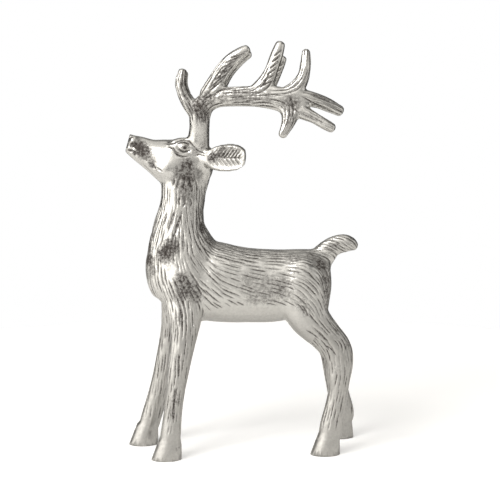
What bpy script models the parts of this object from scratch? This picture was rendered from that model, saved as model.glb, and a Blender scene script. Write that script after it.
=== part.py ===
"""Standing reindeer figurine, cast in one piece of aluminium and hand finished.

The animal stands on its four hooves with its nose raised towards -X and its tail towards +X.
Its left side faces -Y. The origin is in the middle of its footprint, on the surface it stands on.
"""

import math

import bmesh
import bpy
import numpy as np
from mathutils import Matrix, Vector, kdtree
from mathutils.bvhtree import BVHTree

# Height from the soles to the highest antler tine, in metres
HEIGHT = 0.300

# The pose, the proportions and the carving are shares of the height.
# One unit is a three hundredth of it, so it reads as a millimetre at the height above.
UNIT = HEIGHT / 300

# Grain of the fused clay form, and the triangles that the finished casting keeps
CLAY_GRAIN = 0.9 * UNIT
CASTING_TRIANGLES = 9700

# Sections round a limb, rings for each span between two stations, and rings of a rounded end.
# A rounded end reaches this share of its smaller half size, and the rump is blunter.
SIDES = 24
RINGS_PER_SPAN = 4
END_RINGS = 3
ROUND_END = 0.8
BLUNT_END = 0.42

# Rounds of filling that turn the creases between limbs into soft fillets, and of overall smoothing.
# Each smoothing round pulls the surface in and then lets it out by slightly more.
FILLET_ROUNDS = 34
FILLET_PULL = 0.9
SMOOTHING_ROUNDS = 6
PULL_IN = 0.5
LET_OUT = 0.52

# The head and the antlers turn a little away from the animal's left side
HEAD_TURN = math.radians(6)
HEAD_PIVOT_X = -46

# The right antler is a slightly longer, closer and thinner cast of the left one
RIGHT_ANTLER_LENGTH = 1.03
RIGHT_ANTLER_SPREAD = 0.95
RIGHT_ANTLER_THICKNESS = 0.93

# Every limb is a list of stations along its middle line:
# x, y and z of the middle, then half its size within the upright plane and half its width across
TRUNK = (
    (-42, 0, 129, 25.0, 17.0),
    (-30, 0, 127.5, 29.5, 20.0),
    (-15, 0, 125, 28.9, 20.5),
    (0, 0, 123.7, 27.8, 20.0),
    (15, 0, 123.2, 27.4, 19.2),
    (30, 0, 124.4, 26.0, 19.5),
    (41, 0, 125.6, 25.0, 20.0),
    (48, 0, 126.6, 23.6, 18.5),
    (54.5, 0, 126.9, 20.0, 14.5),
)
NECK = (
    (-46.2, 0, 206, 17.2, 12.4),
    (-48.5, 0, 196, 16.6, 12.6),
    (-49.1, 0, 188.3, 16.1, 12.4),
    (-50.3, 0, 179.9, 16.5, 12.8),
    (-51.8, 0, 169.3, 19.0, 14.0),
    (-51.3, 0, 158.3, 23.2, 16.2),
    (-49.6, 0, 147.4, 27.2, 18.2),
    (-48.4, 0, 135.5, 28.4, 19.4),
    (-47.2, 0, 124.0, 27.0, 19.2),
    (-46.8, 0, 114.3, 22.6, 17.0),
    (-48.4, 0, 105.5, 16.2, 13.0),
)
HEAD = (
    (-34, 0, 212.4, 15.0, 9.4),
    (-43, 0, 213.8, 18.6, 11.6),
    (-56.0, 0, 214.6, 18.0, 12.4),
    (-66.4, 0, 218.2, 14.0, 10.4),
    (-74.1, 0, 221.3, 10.8, 8.2),
    (-81.9, 0, 225.3, 8.8, 6.9),
    (-88.4, 0, 228.6, 6.7, 6.2),
    (-94.0, 0, 231.4, 5.6, 5.6),
)
# Flat facets that dress the tip of the nose: a point on each, in units, and the way that it faces
NOSE_FACETS = (
    ((-89.2, 0, 229.0), (-0.966, 0, 0.258)),
    ((-86.6, -5.2, 231.6), (-0.72, -0.62, 0.30)),
    ((-86.6, 5.2, 231.6), (-0.72, 0.62, 0.30)),
)
TAIL = (
    (50, 0, 139, 10.0, 7.0),
    (55.5, 0, 146, 9.0, 6.6),
    (60, 0, 150.6, 7.8, 6.2),
    (65, 0, 153.2, 7.2, 6.2),
    (70.6, 0, 154.1, 7.0, 6.4),
    (75.4, 0, 153.4, 5.6, 5.6),
    (77.6, 0, 152.3, 4.0, 4.2),
)
LEFT_FRONT_LEG = (
    (-47, -9, 122, 18.0, 9.0),
    (-48.5, -12.5, 108, 14.2, 8.6),
    (-49.2, -14.5, 95.6, 10.9, 8.4),
    (-51.9, -16.5, 78.6, 9.0, 7.8),
    (-54.4, -18, 63.2, 7.9, 7.2),
    (-56.8, -19.2, 45.6, 6.7, 6.4),
    (-58.8, -20, 30, 6.9, 6.2),
    (-60.0, -20.4, 19, 7.5, 6.8),
    (-60.8, -20.5, 12, 7.4, 6.6),
)
RIGHT_FRONT_LEG = (
    (-48, 9, 122, 18.0, 9.0),
    (-51.5, 12.5, 108, 14.2, 8.8),
    (-54.2, 15, 96.6, 11.2, 8.4),
    (-56.0, 17, 87.4, 9.8, 8.0),
    (-59.0, 19, 72.9, 9.1, 7.6),
    (-64.1, 20.6, 51.4, 8.2, 7.0),
    (-68.6, 21.6, 36, 7.7, 6.6),
    (-73.0, 22.2, 21.4, 7.8, 6.8),
    (-75.6, 22.4, 12.5, 7.6, 6.8),
)
LEFT_HIND_LEG = (
    (36, -7, 128, 23.0, 11.0),
    (38.7, -9.5, 114.5, 20.5, 11.2),
    (42.4, -12, 102, 16.0, 10.4),
    (47.8, -14, 94.6, 13.6, 9.4),
    (55.2, -16, 86.8, 12.0, 8.4),
    (62.0, -17.4, 77.4, 11.6, 7.6),
    (64.2, -18.2, 67.1, 10.2, 7.2),
    (63.5, -18.8, 55.2, 8.6, 6.8),
    (63.2, -19, 46.4, 7.5, 6.5),
    (60.8, -19.2, 33.5, 7.8, 6.4),
    (58.6, -19.4, 22.7, 8.6, 6.9),
    (57.4, -19.4, 14.5, 8.6, 7.0),
)
RIGHT_HIND_LEG = (
    (36, 7, 128, 23.0, 11.0),
    (38.7, 11, 114.5, 20.5, 11.2),
    (42.8, 15, 102, 16.0, 10.4),
    (48.6, 18, 94.6, 13.4, 9.4),
    (56.2, 20.8, 86.8, 11.8, 8.4),
    (62.8, 22.8, 77.4, 11.0, 7.6),
    (66.4, 24, 67.1, 9.6, 7.2),
    (68.0, 25, 55.2, 8.6, 6.8),
    (69.6, 25.6, 44, 8.0, 6.5),
    (72.6, 26.2, 31, 8.6, 6.5),
    (75.0, 26.6, 20, 9.2, 6.9),
    (74.4, 26.8, 13, 8.6, 7.0),
)
LEFT_EAR = (
    (-38.3, -6, 218, 5.0, 4.0),
    (-32, -9.5, 218, 5.6, 3.8),
    (-25, -13.5, 217.6, 8.6, 3.4),
    (-16.6, -17.4, 218.2, 9.7, 3.0),
    (-9.3, -19.8, 218.5, 8.8, 2.7),
    (-4.9, -20.8, 218.4, 6.2, 2.3),
)
LEFT_BEAM = (
    (-38.5, -4.5, 222, 9.0, 7.0),
    (-37.5, -6.4, 230.5, 8.0, 6.6),
    (-36.7, -9, 239.5, 7.1, 6.0),
    (-36.2, -12, 248.7, 7.3, 5.7),
    (-32.6, -15, 256.6, 7.2, 5.4),
    (-24.7, -18, 260.6, 6.7, 5.2),
    (-12.9, -22, 261.6, 6.8, 5.0),
    (2.7, -25, 261.8, 7.3, 4.8),
    (16.8, -27, 260.4, 8.4, 4.8),
    (27.9, -27.6, 257.6, 9.2, 4.8),
    (34.9, -27.4, 255.6, 7.6, 4.5),
)
# Tines in their order from the brow to the hooked one that hangs at the back
LEFT_TINES = (
    (
        (-37.8, -11.6, 250, 6.4, 5.2),
        (-44.3, -12.4, 257.5, 5.0, 4.5),
        (-48.6, -12.6, 266.5, 4.5, 4.1),
        (-49.4, -12.6, 273, 4.2, 3.8),
        (-48.1, -12.6, 279.2, 3.3, 3.1),
    ),
    (
        (-29, -17, 262, 7.6, 5.0),
        (-24.5, -19, 270, 7.0, 4.8),
        (-19.3, -21, 279.0, 6.0, 4.5),
        (-13.2, -22.6, 286.3, 5.4, 4.2),
        (-7, -23.6, 291.3, 4.4, 3.7),
        (-2.6, -23.9, 294.0, 3.5, 3.1),
    ),
    (
        (6.5, -25, 264, 8.0, 4.8),
        (11.6, -25.6, 272.3, 6.0, 4.6),
        (15.2, -26, 281.0, 4.7, 4.2),
        (18.4, -25.8, 290.0, 4.5, 3.9),
        (20.8, -25.2, 297.3, 3.6, 3.3),
    ),
    (
        (25.6, -27, 261, 7.6, 4.6),
        (32.9, -27.2, 268.3, 5.6, 4.4),
        (37.2, -26.8, 276.0, 4.3, 4.0),
        (38.6, -26.0, 284.5, 4.0, 3.7),
        (39, -25.2, 292.4, 3.0, 2.8),
    ),
    (
        (28.6, -27.4, 260, 7.6, 4.6),
        (38.1, -27, 260.4, 5.8, 4.4),
        (47.1, -25.8, 258.6, 4.9, 4.2),
        (54.6, -24, 255.6, 4.7, 4.1),
        (63.1, -21.8, 251.5, 3.9, 3.5),
    ),
    (
        (28.7, -27.6, 255, 7.0, 4.6),
        (38.5, -29, 249.6, 5.0, 4.3),
        (45, -30.2, 246.3, 4.0, 3.8),
        (51.9, -31.4, 242.2, 3.9, 3.7),
        (56.8, -32, 239.4, 3.5, 3.3),
    ),
    (
        (25.7, -27.6, 257, 8.4, 4.6),
        (27.7, -29, 250.0, 6.8, 4.5),
        (26.5, -31, 243.2, 5.0, 4.2),
        (23.8, -32.8, 237.6, 3.9, 3.6),
        (22.3, -33.6, 234.8, 3.3, 3.1),
    ),
)
# The right antler's third tine is shorter and leans back
RIGHT_THIRD_TINE = (
    (8.0, 23.5, 264, 8.0, 4.6),
    (14.4, 24.2, 271.5, 5.4, 4.2),
    (19.0, 24.6, 279.5, 4.2, 3.8),
    (22.4, 24.4, 287.0, 3.6, 3.3),
    (24.2, 24.0, 290.6, 2.9, 2.7),
)
# Hooves flare from the coronet to the sole: x and y of the coronet, and how far the toe runs forward
CORONET_Z = 12.5
SOLE_DROP = 3
HOOF_RINGS = 4
HOOF_TOP = (8.6, 7.2)
HOOF_SOLE = (11.5, 8.6)
HOOVES = (
    (-60.6, -20.6, -2.8),
    (-76.4, 22.6, -3.0),
    (56.2, -19.5, -2.6),
    (74.4, 26.8, -1.4),
)
# Rounded masses that the limbs lack, on both sides: the shoulder and the haunch,
# then on the head the cheek, the brow and the nostril.
# Each has x, y, z of the middle and half sizes along x, y and z.
BODY_MASSES = (
    (-48, 9.5, 128, 19, 11.5, 27),
    (37, 11, 121, 19, 11, 25),
)
HEAD_MASSES = (
    (-57.0, 6.0, 211.5, 11, 7.6, 11),
    (-50, 7.6, 226.5, 9, 5.2, 6),
    (-84.5, 3.0, 229.5, 4.6, 3.7, 4.6),
)
MASS_SIDES = 24
MASS_RINGS = 16
# The belly is dressed flat at this height
BELLY_Z = 96.5

# Eyes, as half sizes of the ball and its middle, and the carved lines round them, as x and z
EYE_MIDDLE = (-48.0, 11.1, 225.8)
EYE_BALL = (4.0, 2.4, 2.9)
# How many half sizes in from its middle the ball still lifts the skin
EYE_REACH = 3
BROW_LINE = ((-67, 229.2), (-61, 228.8), (-55, 228.9), (-50, 230.6), (-45.6, 229.8), (-42.6, 226.9))
UPPER_LID = ((-54, 225.6), (-51, 228.2), (-47.6, 229.0), (-44.4, 227.6), (-42.4, 225.0))
LOWER_LID = ((-61, 226.2), (-57.6, 225.0), (-55, 221.8), (-51.6, 220.0), (-47, 219.6), (-42.6, 220.6))
MOUTH = ((-88.5, 225.3), (-82.6, 222.2), (-80.9, 219.6), (-75.3, 215.6), (-72, 213.6), (-64, 206.4))
NOSTRIL = ((-87.4, 231.0), (-85.8, 232.2), (-84.6, 231.4))
FACE_LINES = (BROW_LINE, UPPER_LID, LOWER_LID, MOUTH, NOSTRIL)
FACE_LINE_WIDTH = 1.5
FACE_LINE_DEPTH = 0.8
FACE_LINE_TAPER = 0.15
CLEAR_OF_HEAD = 100

# Hollow of the ear with its ribs, measured along the ear from root to tip and across it
EAR_ROOT_X = -31.5
EAR_TIP_X = -2.4
EAR_MIDDLE_Z = 218.2
EAR_HALF_HEIGHT = 9.6
EAR_HOLLOW_DEPTH = 2.6
EAR_RIM = 0.84
EAR_OUTLINE_POWER = 0.4
EAR_RIBS = 9
EAR_RIB_SLANT = 0.25
EAR_RIB_DEPTH = 0.5
# The hollow starts and ends at these shares of the ear's length, and fades in and out over these
EAR_HOLLOW = (0.04, 0.93)
EAR_FADES = (0.25, 0.1)
# Only points that far from the middle plane are on an ear, and only ones that face outwards this much
EAR_INNER_Y = 7
EAR_FACING = 0.35

# Locks of the coat: furrows that follow these combed directions, as x, z and the way they run
COAT = (
    (-50, 200, 0, -1),
    (-60, 188, -0.05, -1),
    (-40, 188, 0.05, -1),
    (-64, 172, -0.25, -1),
    (-38, 172, 0.1, -1),
    (-66, 156, -0.25, -1),
    (-50, 156, 0.05, -1),
    (-34, 158, 0.55, -1),
    (-70, 140, 0.05, -1),
    (-55, 140, 0.2, -1),
    (-38, 142, 0.7, -1),
    (-20, 146, 1, -0.35),
    (-62, 122, 0.4, -1),
    (-48, 122, 0.45, -1),
    (-32, 128, 0.9, -0.85),
    (-10, 140, 1, -0.25),
    (-12, 124, 1, -0.4),
    (-18, 108, 1, -0.7),
    (10, 146, 1, -0.05),
    (10, 130, 1, -0.22),
    (8, 110, 1, -0.28),
    (30, 146, 1, -0.05),
    (30, 132, 1, -0.3),
    (26, 114, 1, -0.4),
    (44, 146, 1, -0.3),
    (44, 132, 0.9, -0.8),
    (38, 116, 0.8, -0.8),
    (55, 128, 0.3, -1),
    (50, 106, 0.4, -1),
    (44, 96, 0.8, -0.8),
    (56, 88, 0.8, -0.9),
    (64, 74, 0.1, -1),
    (63, 50, -0.2, -1),
    (58, 24, -0.2, -1),
    (-48, 104, 0, -1),
    (-50, 84, -0.15, -1),
    (-56, 52, -0.15, -1),
    (-62, 20, -0.15, -1),
)
COAT_LOW_Z = 26
COAT_HIGH_Z = 199
LOCKS = 230
LOCK_SPACING = 7.2
LOCK_LENGTH = 19
LOCK_WIDTH = 2.3
LOCK_DEPTH = 1.0
BARK_LOW_Z = 239.5
BARK_LINES = 80
BARK_SPACING = 8
BARK_LENGTH = 20
BARK_WIDTH = 1.7
BARK_DEPTH = 0.6
# Every furrow runs out over this share of its length at each end, and its length varies this much
FURROW_TAPER = 0.25
FURROW_LENGTHS = (0.75, 1.25)
# A cut is a row of dents this share of its width apart.
# Its path is found in steps of this size, and ends where the coat runs straight into the surface.
DENT_SPACING = 0.4
TRACE_STEP = 1.5
HEAD_ON = 0.2
CARVING_SEED = 7
# The pull of a direction falls off with its squared distance, softened by these close to it
COAT_SOFTNESS = 1
BARK_SOFTNESS = 4
# Smallest share that another is divided by, and how near a point counts as on the floor
LEAST_SHARE = 1e-3
FLOOR_TOLERANCE = 1e-6

METAL_COLOUR = (0.72, 0.71, 0.68, 1.0)
METAL_ROUGHNESS = 0.32


def clear_scene():
    """Removes whatever the file opened with."""
    for old in list(bpy.data.objects):
        bpy.data.objects.remove(old, do_unlink=True)


def smooth_rows(stations):
    """The stations with more put between them on a Catmull-Rom spline."""
    rows = np.array(stations, float)
    padded = np.vstack([2 * rows[0] - rows[1], rows, 2 * rows[-1] - rows[-2]])
    found = []
    for i in range(len(rows) - 1):
        before, start, end, after = padded[i : i + 4]
        for step in range(RINGS_PER_SPAN):
            t = step / RINGS_PER_SPAN
            found.append(
                start
                + 0.5 * t * (end - before)
                + t * t * (before - 2.5 * start + 2 * end - 0.5 * after)
                + t * t * t * (1.5 * (start - end) + 0.5 * (after - before))
            )
    found.append(rows[-1])
    return np.array(found)


def tangents_of(rows):
    """The way that the middle line runs at each row."""
    ways = np.gradient(rows[:, :3], axis=0)
    return ways / np.linalg.norm(ways, axis=1)[:, None]


def domed_end(row, outward, way, fullness):
    """The sections of a rounded end, from its tip inwards, and the tip."""
    reach = fullness * min(row[3], row[4])
    sections = []
    for step in range(END_RINGS, 0, -1):
        angle = 0.5 * math.pi * step / (END_RINGS + 1)
        section = row.copy()
        section[:3] += outward * reach * math.sin(angle)
        section[3:] *= math.cos(angle)
        sections.append((section, way))
    return sections, row[:3] + outward * reach


def add_limb(form, stations, fullness=ROUND_END):
    """Lofts elliptical sections along the stations, with domed ends, and gives the new points."""
    rows = smooth_rows(stations)
    ways = tangents_of(rows)
    start_dome, start_tip = domed_end(rows[0], -ways[0], ways[0], fullness)
    end_dome, end_tip = domed_end(rows[-1], ways[-1], ways[-1], fullness)
    sections = start_dome + list(zip(rows, ways)) + end_dome[::-1]
    loops = []
    for row, way in sections:
        across_plane = np.cross((0.0, 1.0, 0.0), way)
        across_plane /= np.linalg.norm(across_plane)
        sideways = np.cross(way, across_plane)
        loop = []
        for side in range(SIDES):
            angle = 2 * math.pi * side / SIDES
            place = row[:3] + across_plane * row[3] * math.cos(angle)
            place = place + sideways * row[4] * math.sin(angle)
            loop.append(form.verts.new(Vector(place) * UNIT))
        loops.append(loop)
    for near, far in zip(loops, loops[1:]):
        for side in range(SIDES):
            after = (side + 1) % SIDES
            form.faces.new((near[side], near[after], far[after], far[side]))
    first = form.verts.new(Vector(start_tip) * UNIT)
    last = form.verts.new(Vector(end_tip) * UNIT)
    for side in range(SIDES):
        after = (side + 1) % SIDES
        form.faces.new((loops[0][after], loops[0][side], first))
        form.faces.new((loops[-1][side], loops[-1][after], last))
    return [vert for loop in loops for vert in loop] + [first, last]


def dress_flat(verts, point, facing):
    """Presses what stands past a plane back onto it."""
    facing = Vector(facing).normalized()
    for vert in verts:
        proud = (vert.co - Vector(point) * UNIT).dot(facing)
        if proud > 0:
            vert.co -= facing * proud


def mirrored(stations):
    """The same stations on the animal's right."""
    return tuple((x, -y, z, deep, wide) for x, y, z, deep, wide in stations)


def right_antler(stations):
    """A beam or tine of the left antler, as it is on the right one."""
    found = []
    for x, y, z, deep, wide in mirrored(stations):
        along = HEAD_PIVOT_X + (x - HEAD_PIVOT_X) * RIGHT_ANTLER_LENGTH
        deep = deep * RIGHT_ANTLER_THICKNESS
        wide = wide * RIGHT_ANTLER_THICKNESS
        found.append((along, y * RIGHT_ANTLER_SPREAD, z, deep, wide))
    return tuple(found)


def antler_parts():
    """The beam and the tines of both antlers, as they stand on the turned head."""
    right_tines = [right_antler(tine) for tine in LEFT_TINES]
    right_tines[2] = RIGHT_THIRD_TINE
    parts = [LEFT_BEAM, *LEFT_TINES, right_antler(LEFT_BEAM), *right_tines]
    return [turned_with_head(part) for part in parts]


def turned_with_head(stations):
    """The stations swung round the upright line through the neck, as the head is."""
    found = []
    for x, y, z, deep, wide in stations:
        reach = x - HEAD_PIVOT_X
        turned_x = HEAD_PIVOT_X + reach * math.cos(HEAD_TURN) + y * math.sin(HEAD_TURN)
        turned_y = y * math.cos(HEAD_TURN) - reach * math.sin(HEAD_TURN)
        found.append((turned_x, turned_y, z, deep, wide))
    return tuple(found)


def on_turned_head(x, y, z):
    """A place on the head, swung round with it."""
    return turned_with_head(((x, y, z, 0, 0),))[0][:3]


def add_mass(form, middle, half):
    """One egg-shaped swelling."""
    made = bmesh.ops.create_uvsphere(
        form, u_segments=MASS_SIDES, v_segments=MASS_RINGS, radius=1.0
    )
    for vert in made["verts"]:
        vert.co = Vector((m + h * c) * UNIT for m, h, c in zip(middle, half, vert.co))


def add_hoof(form, x, y, toe):
    """A hoof that flares down to the sole and runs past the floor, where it is cut."""
    top = np.array((x, y, CORONET_Z, *HOOF_TOP))
    bottom = np.array((x + toe, y, -SOLE_DROP, *HOOF_SOLE))
    add_limb(form, [top + (bottom - top) * share for share in np.linspace(0, 1, HOOF_RINGS)])


def rough_form():
    """Every limb and swelling as overlapping closed shells in one mesh."""
    form = bmesh.new()
    dress_flat(add_limb(form, TRUNK, BLUNT_END), (0, 0, BELLY_Z), (0, 0, -1))
    for limb in (NECK, TAIL, LEFT_FRONT_LEG, RIGHT_FRONT_LEG, LEFT_HIND_LEG, RIGHT_HIND_LEG):
        add_limb(form, limb)
    head = add_limb(form, turned_with_head(HEAD))
    for point, facing in NOSE_FACETS:
        facing = Matrix.Rotation(-HEAD_TURN, 3, "Z") @ Vector(facing)
        dress_flat(head, on_turned_head(*point), facing)
    for limb in (LEFT_EAR, mirrored(LEFT_EAR)):
        add_limb(form, turned_with_head(limb))
    for limb in antler_parts():
        add_limb(form, limb)
    for x, y, z, *half in BODY_MASSES:
        for side in (-1, 1):
            add_mass(form, (x, side * y, z), half)
    for x, y, z, *half in HEAD_MASSES:
        for side in (-1, 1):
            add_mass(form, on_turned_head(x, side * y, z), half)
    for x, y, toe in HOOVES:
        add_hoof(form, x, y, toe)
    mesh = bpy.data.meshes.new("reindeer")
    form.to_mesh(mesh)
    form.free()
    return mesh


def bake_modifiers(obj):
    """Makes the object's evaluated mesh its own and takes its modifiers off."""
    bpy.context.view_layer.update()
    graph = bpy.context.evaluated_depsgraph_get()
    mesh = bpy.data.meshes.new_from_object(obj.evaluated_get(graph))
    obj.modifiers.clear()
    obj.data = mesh


def places_of(mesh):
    """The mesh's points as rows of x, y and z."""
    flat = np.empty(len(mesh.vertices) * 3, np.float32)
    mesh.vertices.foreach_get("co", flat)
    return flat.reshape(-1, 3).astype(float)


def normals_of(mesh):
    """The way that the surface faces at each of the mesh's points."""
    flat = np.empty(len(mesh.vertices) * 3, np.float32)
    mesh.vertices.foreach_get("normal", flat)
    return flat.reshape(-1, 3).astype(float)


def set_places(mesh, places):
    """Moves the mesh's points to these rows of x, y and z."""
    mesh.vertices.foreach_set("co", places.astype(np.float32).ravel())
    mesh.update()


def edge_pull(mesh):
    """A function that gives how far each point is from the middle of its neighbours."""
    ends = np.empty(len(mesh.edges) * 2, np.int32)
    mesh.edges.foreach_get("vertices", ends)
    ends = ends.reshape(-1, 2)
    count = np.bincount(ends.ravel(), minlength=len(mesh.vertices)).astype(float)[:, None]

    def pull(places):
        total = np.zeros_like(places)
        for axis in range(3):
            total[:, axis] = np.bincount(
                ends[:, 0], weights=places[ends[:, 1], axis], minlength=len(places)
            ) + np.bincount(ends[:, 1], weights=places[ends[:, 0], axis], minlength=len(places))
        return total / count - places

    return pull


def soften(mesh):
    """Fills the creases where limbs meet, then evens out the whole surface without shrinking it."""
    pull = edge_pull(mesh)
    places = places_of(mesh)
    for _ in range(FILLET_ROUNDS):
        set_places(mesh, places)
        normals = normals_of(mesh)
        move = pull(places)
        hollow = (move * normals).sum(1) > 0
        places = places + move * hollow[:, None] * FILLET_PULL
    for _ in range(SMOOTHING_ROUNDS):
        places = places + PULL_IN * pull(places)
        places = places - LET_OUT * pull(places)
    set_places(mesh, places)


def side_hit(tree, x, z, side):
    """Where a line across the turned head at x and z first meets its surface, from one side."""
    outside = Vector(on_turned_head(x, side * CLEAR_OF_HEAD, z))
    inside = Vector(on_turned_head(x, 0, z))
    return tree.ray_cast(outside * UNIT, inside - outside)[0]


class Carver:
    """Collects cuts into a mesh, then moves its points inwards by the deepest cut at each."""

    def __init__(self, mesh):
        self.mesh = mesh
        self.places = places_of(mesh)
        self.normals = normals_of(mesh)
        self.depth = np.zeros(len(self.places))
        self.finder = kdtree.KDTree(len(self.places))
        for index, place in enumerate(self.places):
            self.finder.insert(place, index)
        self.finder.balance()
        corners = np.empty(len(mesh.polygons) * 4, np.int32)
        mesh.polygons.foreach_get("vertices", corners)
        self.tree = BVHTree.FromPolygons(self.places.tolist(), corners.reshape(-1, 4).tolist())

    def cut(self, path, width, depth, taper):
        """A groove along the path that runs out over a share of its length at both ends."""
        spacing = DENT_SPACING * width * UNIT
        points = [Vector(point) for point in path]
        lengths = [(b - a).length for a, b in zip(points, points[1:])]
        whole = sum(lengths)
        done = 0.0
        for start, end, length in zip(points, points[1:], lengths):
            steps = max(1, int(length / spacing))
            for step in range(steps):
                share = (done + length * step / steps) / whole
                fade = min(1.0, share / taper, (1 - share) / taper)
                self.dent(start.lerp(end, step / steps), width * UNIT, depth * UNIT * fade)
            done += length

    def dent(self, point, width, depth):
        """A shallow bowl, kept where it is deeper than what is cut there already."""
        for _, index, distance in self.finder.find_range(point, width):
            bowl = (1 - (distance / width) ** 2) ** 2
            self.depth[index] = max(self.depth[index], depth * bowl)

    def on_side(self, line, side):
        """A line given as x and z, laid on the surface of one side."""
        found = [side_hit(self.tree, x, z, side) for x, z in line]
        return [point for point in found if point is not None]

    def finish(self):
        """Moves the surface in by what was cut."""
        set_places(self.mesh, self.places - self.normals * self.depth[:, None])


def side_lines(carver, lines, width, depth):
    """Cuts lines given in the upright plane into both sides of the head."""
    for line in lines:
        for side in (-1, 1):
            path = carver.on_side(line, side)
            if len(path) > 1:
                carver.cut(path, width, depth, FACE_LINE_TAPER)



def trace(tree, start, way_at, length):
    """Points on the surface that follow the combed way from a start."""
    path = [start]
    place = start
    for _ in range(int(length / TRACE_STEP)):
        way = way_at(place)
        normal = tree.find_nearest(place)[1]
        along = way - normal * way.dot(normal)
        if along.length < HEAD_ON:
            break
        place = tree.find_nearest(place + along.normalized() * TRACE_STEP * UNIT)[0]
        path.append(place)
    return path


def comb_locks(carver, dice):
    """Broad furrows between the locks of the coat, spread evenly over the body."""
    arrows = np.array(COAT, float)
    arrows[:, 2:] /= np.linalg.norm(arrows[:, 2:], axis=1)[:, None]

    def way_at(place):
        offset = arrows[:, :2] - np.array((place[0], place[2])) / UNIT
        weight = 1 / (COAT_SOFTNESS + (offset**2).sum(1)) ** 2
        way = (arrows[:, 2:] * weight[:, None]).sum(0)
        return Vector((way[0], 0, way[1])).normalized()

    heights = carver.places[:, 2] / UNIT
    coat = np.nonzero((heights > COAT_LOW_Z) & (heights < COAT_HIGH_Z))[0]
    for start in spread_starts(carver, dice, coat, LOCKS, LOCK_SPACING):
        path = trace(carver.tree, start, way_at, LOCK_LENGTH * dice.uniform(*FURROW_LENGTHS))
        if len(path) > 2:
            carver.cut(path, LOCK_WIDTH, LOCK_DEPTH, FURROW_TAPER)


def antler_arrows():
    """Places along the middle of each beam and tine with the way that it runs."""
    rows = []
    for stations in antler_parts():
        line = smooth_rows(stations)
        rows.append(np.hstack([line[:, :3], tangents_of(line)]))
    return np.vstack(rows)


def groove_antlers(carver, dice):
    """Long grooves like bark along the beams and tines."""
    arrows = antler_arrows()

    def way_at(place):
        offset = arrows[:, :3] - np.array(place) / UNIT
        weight = 1 / (BARK_SOFTNESS + (offset**2).sum(1)) ** 2
        return Vector((arrows[:, 3:] * weight[:, None]).sum(0)).normalized()

    antlers = np.nonzero(carver.places[:, 2] / UNIT > BARK_LOW_Z)[0]
    for start in spread_starts(carver, dice, antlers, BARK_LINES, BARK_SPACING):
        path = trace(carver.tree, start, way_at, BARK_LENGTH * dice.uniform(*FURROW_LENGTHS))
        if len(path) > 2:
            carver.cut(path, BARK_WIDTH, BARK_DEPTH, FURROW_TAPER)


def spread_starts(carver, dice, candidates, count, spacing):
    """Places taken at random that keep their distance from each other."""
    starts = []
    for index in dice.permutation(candidates):
        place = carver.places[index]
        if starts and ((np.array(starts) - place) ** 2).sum(1).min() < (spacing * UNIT) ** 2:
            continue
        starts.append(place)
        if len(starts) == count:
            break
    return [Vector(start) for start in starts]


def hollow_ears(mesh):
    """Scoops the outward face of each ear and leaves its rim, with ribs from the middle out."""
    places = places_of(mesh)
    unturned = turned_back(places / UNIT)
    side = np.sign(unturned[:, 1])
    along = (unturned[:, 0] - EAR_ROOT_X) / (EAR_TIP_X - EAR_ROOT_X)
    across = np.abs(unturned[:, 2] - EAR_MIDDLE_Z) / EAR_HALF_HEIGHT
    outline = np.clip(1 - (2 * along - 1) ** 2, 0, 1) ** EAR_OUTLINE_POWER
    share = across / np.maximum(outline * EAR_RIM, LEAST_SHARE)
    start, end = EAR_HOLLOW
    inside = (along > start) & (along < end) & (share < 1) & (unturned[:, 1] * side > EAR_INNER_Y)
    inside &= normals_of(mesh)[:, 1] * side > EAR_FACING
    fade_in, fade_out = EAR_FADES
    fade = np.clip((along - start) / fade_in, 0, 1) * np.clip((end - along) / fade_out, 0, 1)
    ribs = 0.5 + 0.5 * np.cos(2 * math.pi * EAR_RIBS * (along - EAR_RIB_SLANT * across))
    depth = (EAR_HOLLOW_DEPTH - EAR_RIB_DEPTH * ribs) * (1 - share**4) * fade
    places[:, 1] -= side * np.where(inside, depth * UNIT, 0)
    set_places(mesh, places)


def turned_back(places):
    """Places in units with the turn of the head taken out."""
    found = places.copy()
    reach = places[:, 0] - HEAD_PIVOT_X
    found[:, 0] = HEAD_PIVOT_X + reach * math.cos(HEAD_TURN) - places[:, 1] * math.sin(HEAD_TURN)
    found[:, 1] = places[:, 1] * math.cos(HEAD_TURN) + reach * math.sin(HEAD_TURN)
    return found


def raise_eyes(mesh):
    """Pushes the surface out onto an eyeball on each side."""
    places = places_of(mesh)
    half = np.array(EYE_BALL) * UNIT
    for side in (-1, 1):
        x, y, z = EYE_MIDDLE
        middle = np.array(on_turned_head(x, side * y, z)) * UNIT
        offset = (places - middle) / half
        flat = offset[:, 0] ** 2 + offset[:, 2] ** 2
        cap = np.sqrt(np.clip(1 - flat, 0, 1)) * half[1] * side + middle[1]
        inside = (flat < 1) & (offset[:, 1] * side > -EYE_REACH)
        places[:, 1] = np.where(inside & ((cap - places[:, 1]) * side > 0), cap, places[:, 1])
    set_places(mesh, places)


def thin_out(obj):
    """Leaves only the triangles that the form needs."""
    triangles = 2 * len(obj.data.polygons)
    thinner = obj.modifiers.new("Thin out", "DECIMATE")
    thinner.ratio = CASTING_TRIANGLES / triangles
    bake_modifiers(obj)


def cut_soles(mesh):
    """Cuts the hooves flat on the floor and closes the cuts."""
    form = bmesh.new()
    form.from_mesh(mesh)
    everything = [*form.verts, *form.edges, *form.faces]
    bmesh.ops.bisect_plane(
        form,
        geom=everything,
        dist=FLOOR_TOLERANCE,
        plane_co=(0, 0, 0),
        plane_no=(0, 0, 1),
        clear_inner=True,
    )
    rims = [edge for edge in form.edges if edge.is_boundary]
    bmesh.ops.holes_fill(form, edges=rims)
    form.to_mesh(mesh)
    form.free()


def centre_footprint(mesh):
    """Moves the animal so that the origin is in the middle of its bounding box, on the floor."""
    places = places_of(mesh)
    middle = (places.min(0) + places.max(0)) / 2
    places[:, :2] -= middle[:2]
    set_places(mesh, places)


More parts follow.
